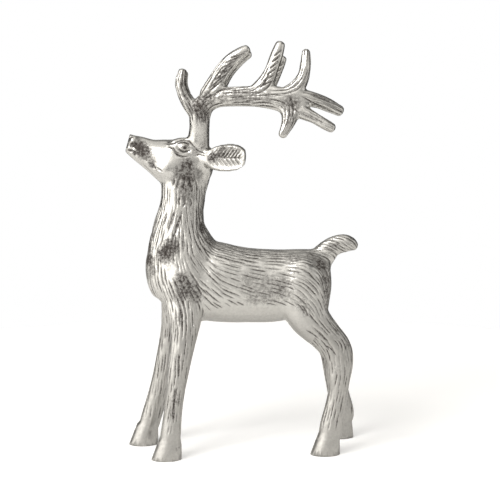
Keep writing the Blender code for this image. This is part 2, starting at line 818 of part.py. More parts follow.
def cast_aluminium():
    """Hand-polished cast aluminium."""
    metal = bpy.data.materials.new("cast_aluminium")
    metal.use_nodes = True
    shader = metal.node_tree.nodes["Principled BSDF"]
    shader.inputs["Base Color"].default_value = METAL_COLOUR
    shader.inputs["Metallic"].default_value = 1.0
    shader.inputs["Roughness"].default_value = METAL_ROUGHNESS
    return metal


def make_reindeer():
    """Models the form, fuses it, carves it, thins it out and stands it on the floor."""
    home = bpy.data.collections.new("Reindeer figurine")
    bpy.context.scene.collection.children.link(home)
    reindeer = bpy.data.objects.new("reindeer", rough_form())
    home.objects.link(reindeer)
    fuse = reindeer.modifiers.new("Fuse", "REMESH")
    fuse.mode = "VOXEL"
    fuse.voxel_size = CLAY_GRAIN
    bake_modifiers(reindeer)
    soften(reindeer.data)
    raise_eyes(reindeer.data)
    hollow_ears(reindeer.data)
    dice = np.random.default_rng(CARVING_SEED)
    carver = Carver(reindeer.data)
    side_lines(carver, FACE_LINES, FACE_LINE_WIDTH, FACE_LINE_DEPTH)
    comb_locks(carver, dice)
    groove_antlers(carver, dice)
    carver.finish()
    thin_out(reindeer)
    cut_soles(reindeer.data)
    centre_footprint(reindeer.data)
    reindeer.data.materials.clear()
    reindeer.data.materials.append(cast_aluminium())
    reindeer.data.shade_smooth()


clear_scene()
make_reindeer()
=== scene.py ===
"""Looks of the reindeer figurine: the casting with its chased coat, and a pale studio.

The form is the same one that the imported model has. It is modelled again here on a finer grain,
so that the fine chasing of the coat, face, ears and antlers can be cut into it.
The animal's nose points towards -X, its left side faces -Y, and it stands on the floor at z = 0.
"""

import math

import bmesh
import bpy
import numpy as np
from mathutils import Matrix, Vector, kdtree
from mathutils.bvhtree import BVHTree


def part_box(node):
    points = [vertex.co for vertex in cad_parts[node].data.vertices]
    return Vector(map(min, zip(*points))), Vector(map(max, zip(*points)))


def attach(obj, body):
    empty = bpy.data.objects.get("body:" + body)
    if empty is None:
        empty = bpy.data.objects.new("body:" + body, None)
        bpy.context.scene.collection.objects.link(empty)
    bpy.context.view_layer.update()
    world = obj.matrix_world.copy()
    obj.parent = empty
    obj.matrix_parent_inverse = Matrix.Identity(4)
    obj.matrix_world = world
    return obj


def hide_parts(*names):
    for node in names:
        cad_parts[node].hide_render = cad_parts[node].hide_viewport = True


bl_info = {
    "name": "Reindeer figurine",
    "version": (1, 0, 0),
    "blender": (4, 5, 0),
    "location": "3D View > Sidebar > Reindeer",
    "description": "Models a cast aluminium reindeer with a chased coat, and a pale studio round it",
    "category": "Add Mesh",
}

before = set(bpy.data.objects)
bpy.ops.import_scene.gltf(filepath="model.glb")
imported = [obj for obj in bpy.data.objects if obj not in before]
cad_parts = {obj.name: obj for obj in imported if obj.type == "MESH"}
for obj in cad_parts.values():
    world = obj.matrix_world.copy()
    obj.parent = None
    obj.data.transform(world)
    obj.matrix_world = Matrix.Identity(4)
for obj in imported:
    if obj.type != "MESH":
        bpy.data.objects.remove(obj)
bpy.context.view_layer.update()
CAD_LOW, CAD_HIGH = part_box("reindeer")

# Height from the soles to the highest antler tine, in metres.
# The tips are rounded off by a little when the form is smoothed, so the box is this share of it.
ROUNDED_OFF = 299.86 / 300
HEIGHT = (CAD_HIGH[2] - CAD_LOW[2]) / ROUNDED_OFF
# The pose, the proportions and the carving are shares of the height.
# One unit is a three hundredth of it, so it reads as a millimetre at 0.3 m.
UNIT = HEIGHT / 300

# The camera that the photograph was taken from, in units, before the footprint is centred
CAMERA_PLACE = (-88.36, -840.7, 238.9)
CAMERA_AIM = (0, 0, 150)
PHOTO_SIZE = 500
PIXELS_AT_ONE = 1152.6
SENSOR_MM = 36

# Grain of the fused clay form
CLAY_GRAIN = 0.9 * UNIT
# Sections round a limb, rings for each span between two stations, and rings of a rounded end.
# A rounded end reaches this share of its smaller half size, and the rump is blunter.
SIDES = 24
RINGS_PER_SPAN = 4
END_RINGS = 3
ROUND_END = 0.8
BLUNT_END = 0.42

# Rounds of filling that turn the creases between limbs into soft fillets, and of overall smoothing.
# Each smoothing round pulls the surface in and then lets it out by slightly more.
FILLET_ROUNDS = 34
FILLET_PULL = 0.9
SMOOTHING_ROUNDS = 6
PULL_IN = 0.5
LET_OUT = 0.52

# The head and the antlers turn a little away from the animal's left side
HEAD_TURN = math.radians(6)
HEAD_PIVOT_X = -46

# The right antler is a slightly longer, closer and thinner cast of the left one
RIGHT_ANTLER_LENGTH = 1.03
RIGHT_ANTLER_SPREAD = 0.95
RIGHT_ANTLER_THICKNESS = 0.93

# Every limb is a list of stations along its middle line:
# x, y and z of the middle, then half its size within the upright plane and half its width across
TRUNK = (
    (-42, 0, 129, 25.0, 17.0),
    (-30, 0, 127.5, 29.5, 20.0),
    (-15, 0, 125, 28.9, 20.5),
    (0, 0, 123.7, 27.8, 20.0),
    (15, 0, 123.2, 27.4, 19.2),
    (30, 0, 124.4, 26.0, 19.5),
    (41, 0, 125.6, 25.0, 20.0),
    (48, 0, 126.6, 23.6, 18.5),
    (54.5, 0, 126.9, 20.0, 14.5),
)
NECK = (
    (-46.2, 0, 206, 17.2, 12.4),
    (-48.5, 0, 196, 16.6, 12.6),
    (-49.1, 0, 188.3, 16.1, 12.4),
    (-50.3, 0, 179.9, 16.5, 12.8),
    (-51.8, 0, 169.3, 19.0, 14.0),
    (-51.3, 0, 158.3, 23.2, 16.2),
    (-49.6, 0, 147.4, 27.2, 18.2),
    (-48.4, 0, 135.5, 28.4, 19.4),
    (-47.2, 0, 124.0, 27.0, 19.2),
    (-46.8, 0, 114.3, 22.6, 17.0),
    (-48.4, 0, 105.5, 16.2, 13.0),
)
HEAD = (
    (-34, 0, 212.4, 15.0, 9.4),
    (-43, 0, 213.8, 18.6, 11.6),
    (-56.0, 0, 214.6, 18.0, 12.4),
    (-66.4, 0, 218.2, 14.0, 10.4),
    (-74.1, 0, 221.3, 10.8, 8.2),
    (-81.9, 0, 225.3, 8.8, 6.9),
    (-88.4, 0, 228.6, 6.7, 6.2),
    (-94.0, 0, 231.4, 5.6, 5.6),
)
# Flat facets that dress the tip of the nose: a point on each, in units, and the way that it faces
NOSE_FACETS = (
    ((-89.2, 0, 229.0), (-0.966, 0, 0.258)),
    ((-86.6, -5.2, 231.6), (-0.72, -0.62, 0.30)),
    ((-86.6, 5.2, 231.6), (-0.72, 0.62, 0.30)),
)
TAIL = (
    (50, 0, 139, 10.0, 7.0),
    (55.5, 0, 146, 9.0, 6.6),
    (60, 0, 150.6, 7.8, 6.2),
    (65, 0, 153.2, 7.2, 6.2),
    (70.6, 0, 154.1, 7.0, 6.4),
    (75.4, 0, 153.4, 5.6, 5.6),
    (77.6, 0, 152.3, 4.0, 4.2),
)
LEFT_FRONT_LEG = (
    (-47, -9, 122, 18.0, 9.0),
    (-48.5, -12.5, 108, 14.2, 8.6),
    (-49.2, -14.5, 95.6, 10.9, 8.4),
    (-51.9, -16.5, 78.6, 9.0, 7.8),
    (-54.4, -18, 63.2, 7.9, 7.2),
    (-56.8, -19.2, 45.6, 6.7, 6.4),
    (-58.8, -20, 30, 6.9, 6.2),
    (-60.0, -20.4, 19, 7.5, 6.8),
    (-60.8, -20.5, 12, 7.4, 6.6),
)
RIGHT_FRONT_LEG = (
    (-48, 9, 122, 18.0, 9.0),
    (-51.5, 12.5, 108, 14.2, 8.8),
    (-54.2, 15, 96.6, 11.2, 8.4),
    (-56.0, 17, 87.4, 9.8, 8.0),
    (-59.0, 19, 72.9, 9.1, 7.6),
    (-64.1, 20.6, 51.4, 8.2, 7.0),
    (-68.6, 21.6, 36, 7.7, 6.6),
    (-73.0, 22.2, 21.4, 7.8, 6.8),
    (-75.6, 22.4, 12.5, 7.6, 6.8),
)
LEFT_HIND_LEG = (
    (36, -7, 128, 23.0, 11.0),
    (38.7, -9.5, 114.5, 20.5, 11.2),
    (42.4, -12, 102, 16.0, 10.4),
    (47.8, -14, 94.6, 13.6, 9.4),
    (55.2, -16, 86.8, 12.0, 8.4),
    (62.0, -17.4, 77.4, 11.6, 7.6),
    (64.2, -18.2, 67.1, 10.2, 7.2),
    (63.5, -18.8, 55.2, 8.6, 6.8),
    (63.2, -19, 46.4, 7.5, 6.5),
    (60.8, -19.2, 33.5, 7.8, 6.4),
    (58.6, -19.4, 22.7, 8.6, 6.9),
    (57.4, -19.4, 14.5, 8.6, 7.0),
)
RIGHT_HIND_LEG = (
    (36, 7, 128, 23.0, 11.0),
    (38.7, 11, 114.5, 20.5, 11.2),
    (42.8, 15, 102, 16.0, 10.4),
    (48.6, 18, 94.6, 13.4, 9.4),
    (56.2, 20.8, 86.8, 11.8, 8.4),
    (62.8, 22.8, 77.4, 11.0, 7.6),
    (66.4, 24, 67.1, 9.6, 7.2),
    (68.0, 25, 55.2, 8.6, 6.8),
    (69.6, 25.6, 44, 8.0, 6.5),
    (72.6, 26.2, 31, 8.6, 6.5),
    (75.0, 26.6, 20, 9.2, 6.9),
    (74.4, 26.8, 13, 8.6, 7.0),
)
LEFT_EAR = (
    (-38.3, -6, 218, 5.0, 4.0),
    (-32, -9.5, 218, 5.6, 3.8),
    (-25, -13.5, 217.6, 8.6, 3.4),
    (-16.6, -17.4, 218.2, 9.7, 3.0),
    (-9.3, -19.8, 218.5, 8.8, 2.7),
    (-4.9, -20.8, 218.4, 6.2, 2.3),
)
LEFT_BEAM = (
    (-38.5, -4.5, 222, 9.0, 7.0),
    (-37.5, -6.4, 230.5, 8.0, 6.6),
    (-36.7, -9, 239.5, 7.1, 6.0),
    (-36.2, -12, 248.7, 7.3, 5.7),
    (-32.6, -15, 256.6, 7.2, 5.4),
    (-24.7, -18, 260.6, 6.7, 5.2),
    (-12.9, -22, 261.6, 6.8, 5.0),
    (2.7, -25, 261.8, 7.3, 4.8),
    (16.8, -27, 260.4, 8.4, 4.8),
    (27.9, -27.6, 257.6, 9.2, 4.8),
    (34.9, -27.4, 255.6, 7.6, 4.5),
)
# Tines in their order from the brow to the hooked one that hangs at the back
LEFT_TINES = (
    (
        (-37.8, -11.6, 250, 6.4, 5.2),
        (-44.3, -12.4, 257.5, 5.0, 4.5),
        (-48.6, -12.6, 266.5, 4.5, 4.1),
        (-49.4, -12.6, 273, 4.2, 3.8),
        (-48.1, -12.6, 279.2, 3.3, 3.1),
    ),
    (
        (-29, -17, 262, 7.6, 5.0),
        (-24.5, -19, 270, 7.0, 4.8),
        (-19.3, -21, 279.0, 6.0, 4.5),
        (-13.2, -22.6, 286.3, 5.4, 4.2),
        (-7, -23.6, 291.3, 4.4, 3.7),
        (-2.6, -23.9, 294.0, 3.5, 3.1),
    ),
    (
        (6.5, -25, 264, 8.0, 4.8),
        (11.6, -25.6, 272.3, 6.0, 4.6),
        (15.2, -26, 281.0, 4.7, 4.2),
        (18.4, -25.8, 290.0, 4.5, 3.9),
        (20.8, -25.2, 297.3, 3.6, 3.3),
    ),
    (
        (25.6, -27, 261, 7.6, 4.6),
        (32.9, -27.2, 268.3, 5.6, 4.4),
        (37.2, -26.8, 276.0, 4.3, 4.0),
        (38.6, -26.0, 284.5, 4.0, 3.7),
        (39, -25.2, 292.4, 3.0, 2.8),
    ),
    (
        (28.6, -27.4, 260, 7.6, 4.6),
        (38.1, -27, 260.4, 5.8, 4.4),
        (47.1, -25.8, 258.6, 4.9, 4.2),
        (54.6, -24, 255.6, 4.7, 4.1),
        (63.1, -21.8, 251.5, 3.9, 3.5),
    ),
    (
        (28.7, -27.6, 255, 7.0, 4.6),
        (38.5, -29, 249.6, 5.0, 4.3),
        (45, -30.2, 246.3, 4.0, 3.8),
        (51.9, -31.4, 242.2, 3.9, 3.7),
        (56.8, -32, 239.4, 3.5, 3.3),
    ),
    (
        (25.7, -27.6, 257, 8.4, 4.6),
        (27.7, -29, 250.0, 6.8, 4.5),
        (26.5, -31, 243.2, 5.0, 4.2),
        (23.8, -32.8, 237.6, 3.9, 3.6),
        (22.3, -33.6, 234.8, 3.3, 3.1),
    ),
)
# The right antler's third tine is shorter and leans back
RIGHT_THIRD_TINE = (
    (8.0, 23.5, 264, 8.0, 4.6),
    (14.4, 24.2, 271.5, 5.4, 4.2),
    (19.0, 24.6, 279.5, 4.2, 3.8),
    (22.4, 24.4, 287.0, 3.6, 3.3),
    (24.2, 24.0, 290.6, 2.9, 2.7),
)
# Hooves flare from the coronet to the sole: x and y of the coronet, and how far the toe runs forward
CORONET_Z = 12.5
SOLE_DROP = 3
HOOF_RINGS = 4
HOOF_TOP = (8.6, 7.2)
HOOF_SOLE = (11.5, 8.6)
HOOVES = (
    (-60.6, -20.6, -2.8),
    (-76.4, 22.6, -3.0),
    (56.2, -19.5, -2.6),
    (74.4, 26.8, -1.4),
)
# Rounded masses that the limbs lack, on both sides: the shoulder and the haunch,
# then on the head the cheek, the brow and the nostril.
# Each has x, y, z of the middle and half sizes along x, y and z.
BODY_MASSES = (
    (-48, 9.5, 128, 19, 11.5, 27),
    (37, 11, 121, 19, 11, 25),
)
HEAD_MASSES = (
    (-57.0, 6.0, 211.5, 11, 7.6, 11),
    (-50, 7.6, 226.5, 9, 5.2, 6),
    (-84.5, 3.0, 229.5, 4.6, 3.7, 4.6),
)
MASS_SIDES = 24
MASS_RINGS = 16
# The belly is dressed flat at this height
BELLY_Z = 96.5

# Eyes, as half sizes of the ball and its middle
EYE_MIDDLE = (-48.0, 11.1, 225.8)
EYE_BALL = (4.0, 2.4, 2.9)
# How many half sizes in from its middle the ball still lifts the skin
EYE_REACH = 3
CLEAR_OF_HEAD = 100

# Hollow of the ear with its ribs, measured along the ear from root to tip and across it
EAR_ROOT_X = -31.5
EAR_TIP_X = -2.4
EAR_MIDDLE_Z = 218.2
EAR_HALF_HEIGHT = 9.6
EAR_HOLLOW_DEPTH = 2.8
EAR_RIM = 0.84
EAR_OUTLINE_POWER = 0.4
EAR_RIBS = 9
EAR_FINE_RIBS = 12
EAR_RIB_SLANT = 0.25
EAR_RIB_DEPTH = 1.1
EAR_BRIGHT_HALF = 0.6
# The ribs fade in over this share of the half height, off a smooth midline
EAR_MIDLINE = 0.12
# The hollow starts and ends at these shares of the ear's length, and fades in and out over these
EAR_HOLLOW = (0.04, 0.93)
EAR_FADES = (0.25, 0.1)
# Only points that far from the middle plane are on an ear, and only ones that face outwards this much
EAR_INNER_Y = 7
EAR_FACING = 0.35

# The way the coat is combed: x and z of a place, then the way that the strokes run there
COAT = (
    (-50, 200, 0, -1), (-60, 188, -0.05, -1), (-40, 188, 0.05, -1), (-64, 172, -0.25, -1),
    (-38, 172, 0.1, -1), (-66, 156, -0.25, -1), (-50, 156, 0.05, -1), (-34, 158, 0.55, -1),
    (-70, 140, 0.05, -1), (-55, 140, 0.2, -1), (-38, 142, 0.7, -1), (-20, 146, 1, -0.35),
    (-62, 122, 0.4, -1), (-48, 122, 0.45, -1), (-32, 128, 0.9, -0.85), (-10, 140, 1, -0.25),
    (-12, 124, 1, -0.4), (-18, 108, 1, -0.7), (10, 146, 1, -0.05), (10, 130, 1, -0.22),
    (8, 110, 1, -0.28), (30, 146, 1, -0.05), (30, 132, 1, -0.3), (26, 114, 1, -0.4),
    (44, 146, 1, -0.3), (44, 132, 0.9, -0.8), (38, 116, 0.8, -0.8), (55, 128, 0.3, -1),
    (50, 106, 0.4, -1), (44, 96, 0.8, -0.8), (56, 88, 0.8, -0.9), (64, 74, 0.1, -1),
    (63, 50, -0.2, -1), (58, 24, -0.2, -1), (-48, 104, 0, -1), (-50, 84, -0.15, -1),
    (-56, 52, -0.15, -1), (-62, 20, -0.15, -1),
)

# Triangles that the finished casting keeps
MOST_TRIANGLES = 196000

# A cut is a row of dents this share of its reach apart, and runs out over this share of its length.
# Its path is found in steps of this size, and ends where the coat runs straight into the surface.
DENT_SPACING = 0.4
FURROW_TAPER = 0.3
TRACE_STEP = 1.5
HEAD_ON = 0.2
CARVING_SEED = 7
# How evenly the combed directions blend between the places that give them
COAT_SOFTNESS = 1
BARK_SOFTNESS = 4
# Lengths of single cuts, as shares of the usual length
FURROW_LENGTHS = (0.7, 1.3)
LEAST_SHARE = 1e-3
FLOOR_TOLERANCE = 1e-6
# A cut this deep, in units, is fully tarnished
DARKEST_CUT = 0.55
# A ridge that is raised this much has no tarnish and no painted shade left
WELL_RAISED = 0.3

# Lines cut in the face: the photograph's pixels, how far the graver reaches to each side, and its depth
FACE_CUTS = (
    (
        ((159.6, 142.3), (172.1, 143.7), (177.5, 141.4), (183.8, 139.9), (189.1, 141.3), (193.6, 146.3),
         (202.5, 152.6)), 1.1, 0.75,
    ),
    (((176.6, 145.2), (179.5, 143.0), (183.4, 142.2), (187.6, 143.4), (191.3, 146.6)), 0.9, 1.0),
    (((177.6, 147.2), (180.2, 150.4), (184.2, 151.8), (188.6, 150.8), (191.6, 148.2)), 0.9, 1.0),
    (((165, 145.9), (173, 149.5), (177.5, 154.8), (183.8, 156.6), (190.9, 155.7)), 1.2, 0.85),
    (((170.4, 145.9), (173, 147.7), (175.7, 151.6), (182.9, 154.6)), 0.8, 0.55),
    (((192.7, 146.8), (200.7, 152.1), (207, 153.0)), 0.9, 0.6),
    (((192.7, 155.7), (199, 155.0), (204.3, 155.7), (207, 157.5)), 0.9, 0.6),
    (((127.0, 149.6), (131.5, 151.2), (135.5, 153.2), (139.5, 156.2)), 1.5, 1.3),
    (((138.5, 155.3), (144.0, 158.8), (149.5, 162.6)), 0.8, 0.45),
    (((148.8, 161.8), (152.5, 165.6), (156.0, 168.8)), 1.5, 1.4),
    (((155.5, 167.4), (159.5, 169.4), (163.0, 172.6)), 0.9, 0.7),
    (((128.6, 138.2), (131.4, 136.6), (133.8, 138.0)), 0.9, 0.8),
    (((139, 160.5), (146.5, 167.5), (154, 174.8), (160, 180.5)), 0.8, 0.35),
    (((181, 175), (178, 183), (176.5, 191)), 1.5, 1.0),
    (((185.5, 174), (184.5, 184), (182, 193)), 1.4, 1.0),
    (((190, 174), (190.5, 184), (192, 194)), 1.5, 1.0),
    (((174, 176), (174, 182), (172.5, 187)), 1.2, 0.6),
    (((195, 178), (197, 186), (197, 194)), 1.2, 0.7),
    (((180.5, 195), (179, 201), (180, 207)), 1.2, 0.7),
    (((185.5, 196), (185, 203), (182, 208)), 1.3, 0.8),
    (((190, 197), (191.5, 203), (190, 208)), 1.2, 0.7),
)
# Lids, lips and the corner of the mouth, which are raised
FACE_RIDGES = (
    (((176.6, 143.6), (182.9, 140.6), (187.5, 141.4), (191.5, 145.4)), 0.9, 0.35),
    (((176.8, 149.4), (180.2, 152.6), (184.6, 154.0), (190.4, 152.6)), 0.9, 0.3),
    (((126.8, 147.2), (132.0, 148.4), (138.5, 151.6)), 1.1, 0.7),
    (((155.4, 169.2), (159.0, 171.0), (162.5, 174.0)), 1.1, 0.7),
)
# Long lines of the antlers
ANTLER_LINES = (
    (((213.6, 95.6), (224, 93.0), (234.3, 92.4), (250, 92.6), (267.6, 92)), 0.9, 0.8),
    (((201, 104.5), (204, 100.5), (208, 97.5), (213, 95.2), (219.4, 94)), 1.1, 1.0),
    (((216, 99.5), (230, 98), (246, 98.4), (262, 99.4), (276, 102.6)), 0.8, 0.55),
    (((240, 95.8), (256, 95.4), (272, 96.2), (282, 99)), 0.8, 0.55),
    (((224, 89.6), (238, 89.4), (252, 88.2), (262, 86.2)), 0.8, 0.6),
    (((262, 90), (280, 90.2), (294, 87), (302.6, 77), (305.4, 64)), 0.8, 0.6),
    (((272, 94), (287, 93.2), (299.6, 88), (306.6, 77)), 0.8, 0.5),
    (((286, 95.4), (291.7, 100), (294, 108), (291.7, 119.6)), 1.1, 1.0),
    (((288.8, 101.2), (290, 110.4), (287, 127.6)), 1.0, 0.8),
    (((284, 101), (285.4, 110), (283.8, 124), (281.6, 134)), 0.8, 0.55),
    (((296.3, 94.3), (305, 98.2), (314.7, 103.5), (328, 109)), 0.9, 0.6),
    (((300, 90.6), (314, 95), (330, 102.5)), 0.8, 0.5),
    (((304, 112.5), (316, 119), (328, 126.5)), 0.8, 0.5),
    (((194, 106), (198, 114), (200.6, 123)), 1.1, 0.9),
    (((198.4, 103), (201.4, 112), (203.4, 122)), 1.0, 0.8),
    (((204.4, 104), (205, 113), (206.4, 123)), 1.0, 0.8),
    (((178.6, 80), (182.4, 90), (188, 98.6), (193.4, 106)), 0.9, 0.7),
    (((182.4, 74), (184.6, 84), (189.4, 92.6), (195, 98)), 0.9, 0.6),
)
# Deep locks of the neck, the chest, the shoulder and the legs
DEEP_LOCKS = (
    (((197.5, 206), (196.5, 220), (198, 233), (202, 245), (210, 252.5), (221, 258)), 0.9, 0.75),
    (((194, 210), (193.2, 224), (195, 238), (200, 250), (209, 258)), 0.8, 0.6),
    (((199.5, 199), (199.6, 214), (201.3, 230), (207.5, 241.5), (219, 249), (236, 253.5)), 1.0, 0.85),
    (((162.6, 192), (159.3, 208), (154.5, 222), (150.8, 235), (148.2, 250)), 1.0, 0.8),
    (((156.5, 221), (153.4, 236), (151.6, 254)), 0.8, 0.65),
    (((170, 203), (164.6, 218), (161.5, 233), (160, 246)), 0.7, 0.5),
    (((177.1, 205.7), (170.5, 222), (166.8, 236)), 0.8, 0.7),
    (((182.5, 209.3), (177.1, 225.4), (173.2, 239), (169.5, 250)), 0.8, 0.75),
    (((172, 276), (178, 289), (183, 301), (185, 312)), 1.3, 0.95),
    (((178, 275), (184, 288), (189, 299)), 1.2, 0.9),
    (((184, 273), (189, 282), (193, 291)), 1.3, 1.0),
    (((189, 270), (194, 278), (200, 287)), 1.2, 0.9),
    (((167, 277), (173, 291), (177, 303)), 1.0, 0.6),
    (((195, 283), (199, 290), (203, 297)), 1.2, 0.9),
    (((180, 300), (182, 318), (182.5, 336)), 1.2, 0.9),
    (((188, 299), (189.5, 312)), 1.0, 0.7),
    (((176.5, 318), (177.5, 334), (177.5, 350)), 0.9, 0.55),
    (((178, 350), (179, 366), (178.5, 382)), 1.1, 0.8),
    (((175, 352), (175.5, 368), (175, 384)), 0.8, 0.5),
    (((175.5, 385), (174, 404), (172.5, 424)), 1.3, 0.95),
    (((171.5, 396), (170.5, 412), (169, 428)), 0.8, 0.45),
    (((171, 312), (171.5, 330), (170, 348)), 0.9, 0.5),
    (((164, 243), (161.5, 254), (160, 264)), 1.0, 0.7),
    (((169, 240), (166.5, 252), (164.5, 263)), 1.1, 0.8),
    (((174, 238), (171, 250), (169, 261)), 1.0, 0.7),
    (((178, 207), (172, 221), (166.5, 237)), 0.9, 0.55),
    (((183, 208), (179, 224), (173, 240)), 0.9, 0.6),
    (((304, 329), (314, 335), (321, 341)), 1.0, 0.7),
    (((311, 325), (320, 334), (329, 344)), 0.9, 0.6),
    (((322, 344), (331, 349), (338, 358)), 1.0, 0.7),
    (((300, 304), (305, 309), (309, 318)), 1.1, 0.9),
    (((296, 302), (302, 309), (306, 316)), 0.9, 0.7),
)

# The facets of the nose are pressed this much deeper into the fine form, in front of this place
NOSE_BITE = 0.35
NOSE_FROM_X = -78

# Chased strokes of the coat, in units: how far apart along and across the coat, their length,
# how far the graver reaches to each side, and its depth. Single strokes vary by the shares below.
STROKE_ALONG = 15
STROKE_ACROSS = 2.0
STROKE_LENGTH = 18
STROKE_REACH = 0.82
STROKE_DEPTH = 0.57
STROKE_REACHES = (0.8, 1.25)
STROKE_DEPTHS = (0.55, 1.2)
# A stroke with no more points than this is left out
LEAST_STROKE = 5
# The most strokes, and how many points of the mesh are tried as their starts
MOST_STROKES = 2200
COAT_TRIES = 40000
# Above this height the coat gives way to the face, and below the other to the hooves
COAT_HIGH_Z = 203
COAT_LOW_Z = 18
# Smoother places, as x, z, half sizes along x and z, and the share of the strokes that is left out:
# the belly, the fold of the flank, the haunch, the front and hind shins, the throat and the breast
SMOOTH_PLACES = (
    (4, 100, 38, 11.5, 0.97),
    (33, 92, 10, 13, 0.85),
    (50, 120, 10, 22, 0.6),
    (-58, 30, 24, 18, 0.5),
    (63, 44, 24, 34, 0.6),
    (-50, 198, 20, 9, 0.4),
    (-56, 136, 12, 6, 0.85),
)
# Where this share or more is left out, no stroke runs in from beside it either
BARE_SHARE = 0.85
BARE_PLACES = [row for row in SMOOTH_PLACES if row[4] >= BARE_SHARE]
# On the far legs, below this height, this share is left out
FAR_LEGS_Z = 92
FAR_LEGS_SHARE = 0.88

# Flowing cuts of the antlers, like bark, measured as the strokes of the coat are
BARK_ALONG = 15
BARK_ACROSS = 1.9
BARK_LENGTH = 19
BARK_REACH = 0.95
BARK_DEPTH = 0.75
BARK_DEPTHS = (0.6, 1.3)
BARK_LOW_Z = 239.5
# Behind this place the bark is finer, this share as deep
BEAM_END_X = 8
FINE_BARK = 0.6
MOST_BARK = 900
BARK_TRIES = 12000
LEAST_BARK = 2
# Ribbed tines have bark on the first of this many parts only
BARKED_PARTS = 3
# The tips of all tines stay smooth for this far
CLEAR_OF_TIP = 6
# Grooves between slanting ribs, as shares of the tine's half size for their length
RIB_PITCH = 4.6
RIB_HALF = 0.6
RIB_REACH = 1.05
RIB_DEPTH = 0.75
# Which tines have ribs, counted from the brow, and how much more they run along the tine than across it
RIBBED_TINES = ((1, 2.4), (2, 1.4))
RIB_START = 7
RIB_POINTS = 5

# Punch marks above this height and from this strength of the tarnish and painted shade: one for so many
# points of the mesh
STIPPLE_LOW_Z = 190
STIPPLE_FROM = 0.25
STIPPLE_SHARE = 22
STIPPLE_REACH = 1.1
STIPPLE_DEPTH = 0.5
STIPPLE_REACHES = (0.7, 1.4)
STIPPLE_DEPTHS = (0.4, 1.2)

# A shallow worn step round the top of each hoof, which wanders up and down this many times
STEP_DEPTH = 0.2
STEP_REACH = 1.2
STEP_WANDER = 0.7
STEP_WAVES = 5
CLEAR_OF_HOOF = 16
# The floor is just under the soles, in metres
FLOOR_Z = -0.0001
FLOOR_SIDES = 96
# Place and size of each soft light, and the nearest and farthest that the camera sees, in metres
KEY_LIGHT = ((-0.75, -0.75, 0.95), (0.5, 0.5))
FILL_LIGHT = ((1.0, -0.55, 0.45), (0.6, 0.8))
CAMERA_CLIP = (0.01, 50)
# Share of the paper's glow that the metal mirrors
MIRRORED_GLOW = 0.3

# Lit panels of the tent: the way to each, the angles in degrees within which it is full and
# beyond which it is dark, and its brightness
PANELS = (
    ("left wall", (-1.0, -0.45, 0.2), 20, 46, 2.3),
    ("front", (0.0, -1.0, 0.36), 12, 50, 0.72),
    ("right wall", (1.0, -0.35, 0.1), 14, 40, 0.6),
    ("front ceiling", (-0.1, -0.9, 1.0), 8, 32, 0.6),
    ("zenith", (-0.1, -0.1, 1.0), 14, 44, 0.85),
    ("back ceiling", (0.1, 0.7, 0.7), 10, 30, 0.2),
    ("backdrop", (-0.02, 1.0, 0.0), 13, 22, 0.9),
)

# How sharply a patch of tarnish and painted shade ends at its rim
PATCH_FALLOFF = 1.2
# Soft dark patches, partly tarnish and partly painted shade and painted dark reflections, as along the
# back, above the breast, on the muzzle, in the eye, on the flank and on the hooves: the photograph's
# pixel, their radius in units and their strength
TARNISH_AND_SHADE = (
    (133.5, 146, 3.8, 1.2), (139, 147.5, 6.5, 1.25), (145, 152, 6.5, 1.1), (151, 160, 4.5, 0.7),
    (134, 152.5, 3.0, 1.0), (152, 165, 3.0, 0.9), (187, 166, 6.5, 1.0), (180, 173, 6.0, 0.8),
    (188, 177, 7.0, 1.0), (196, 174, 6.0, 0.65), (184, 186, 7.5, 0.85), (176, 181, 5.0, 0.6),
    (186, 197, 6.0, 0.8), (185.2, 147.6, 2.0, 1.25), (196, 151, 3.5, 0.5), (199, 106, 8.5, 1.0),
    (204, 116, 6.0, 0.9), (193, 110, 5.0, 0.7), (208, 99, 6.5, 0.9), (185, 92, 5.0, 0.55),
    (222, 96, 6.5, 0.7), (236, 95, 6.5, 0.7), (250, 95, 7.0, 0.65), (265, 97, 7.0, 0.55),
    (291, 104, 8.0, 0.8), (291, 118, 6.0, 0.5), (209, 134, 4.0, 0.6), (165, 254, 7.5, 1.1),
    (171, 247, 7.5, 1.1), (179, 243, 6.0, 0.55), (155, 223, 4.0, 0.6), (151.5, 235, 5.5, 0.95),
    (148.5, 247, 6.5, 1.15), (148.5, 260, 6.5, 1.1), (151, 271, 5.0, 0.8), (163, 194, 3.0, 0.5),
    (200, 213, 4.5, 0.7), (202, 228, 5.5, 1.0), (209, 241, 5.5, 0.8), (182, 280, 6.5, 0.85),
    (187, 289, 8.5, 0.9), (194, 297, 6.5, 0.75), (178, 300, 5.0, 0.5), (224, 149, 5.0, 0.75),
    (234, 149, 5.0, 0.6), (213, 157, 5.0, 1.0), (221, 154, 4.5, 0.9), (230, 151, 4.5, 0.5),
    (222, 248, 5.5, 0.4), (240, 252, 5.5, 0.4), (258, 254, 5.5, 0.4), (276, 256, 5.5, 0.5),
    (294, 258, 6.5, 0.6), (311, 256, 6.5, 0.75), (321, 265, 6.5, 1.0), (326, 279, 6.5, 0.8),
    (327, 292, 6.0, 0.75), (328, 305, 6.0, 0.6), (332, 318, 5.5, 0.6), (339, 331, 5.0, 0.6),
    (348, 345, 4.5, 0.6), (250, 283, 9.0, 0.4), (268, 283, 9.0, 0.5), (268, 296, 8.0, 0.5),
    (293, 271, 6.0, 0.4), (283, 288, 10.0, 0.6), (256, 296, 8.0, 0.5), (301, 303, 6.0, 0.4),
    (306, 311, 5.0, 0.5), (318, 338, 6.0, 0.4), (338, 368, 5.0, 0.4), (181, 320, 6.0, 0.5),
    (178, 360, 5.0, 0.45), (175, 400, 6.0, 0.6), (178, 450, 4.5, 0.5), (337, 450, 4.5, 0.4),
)


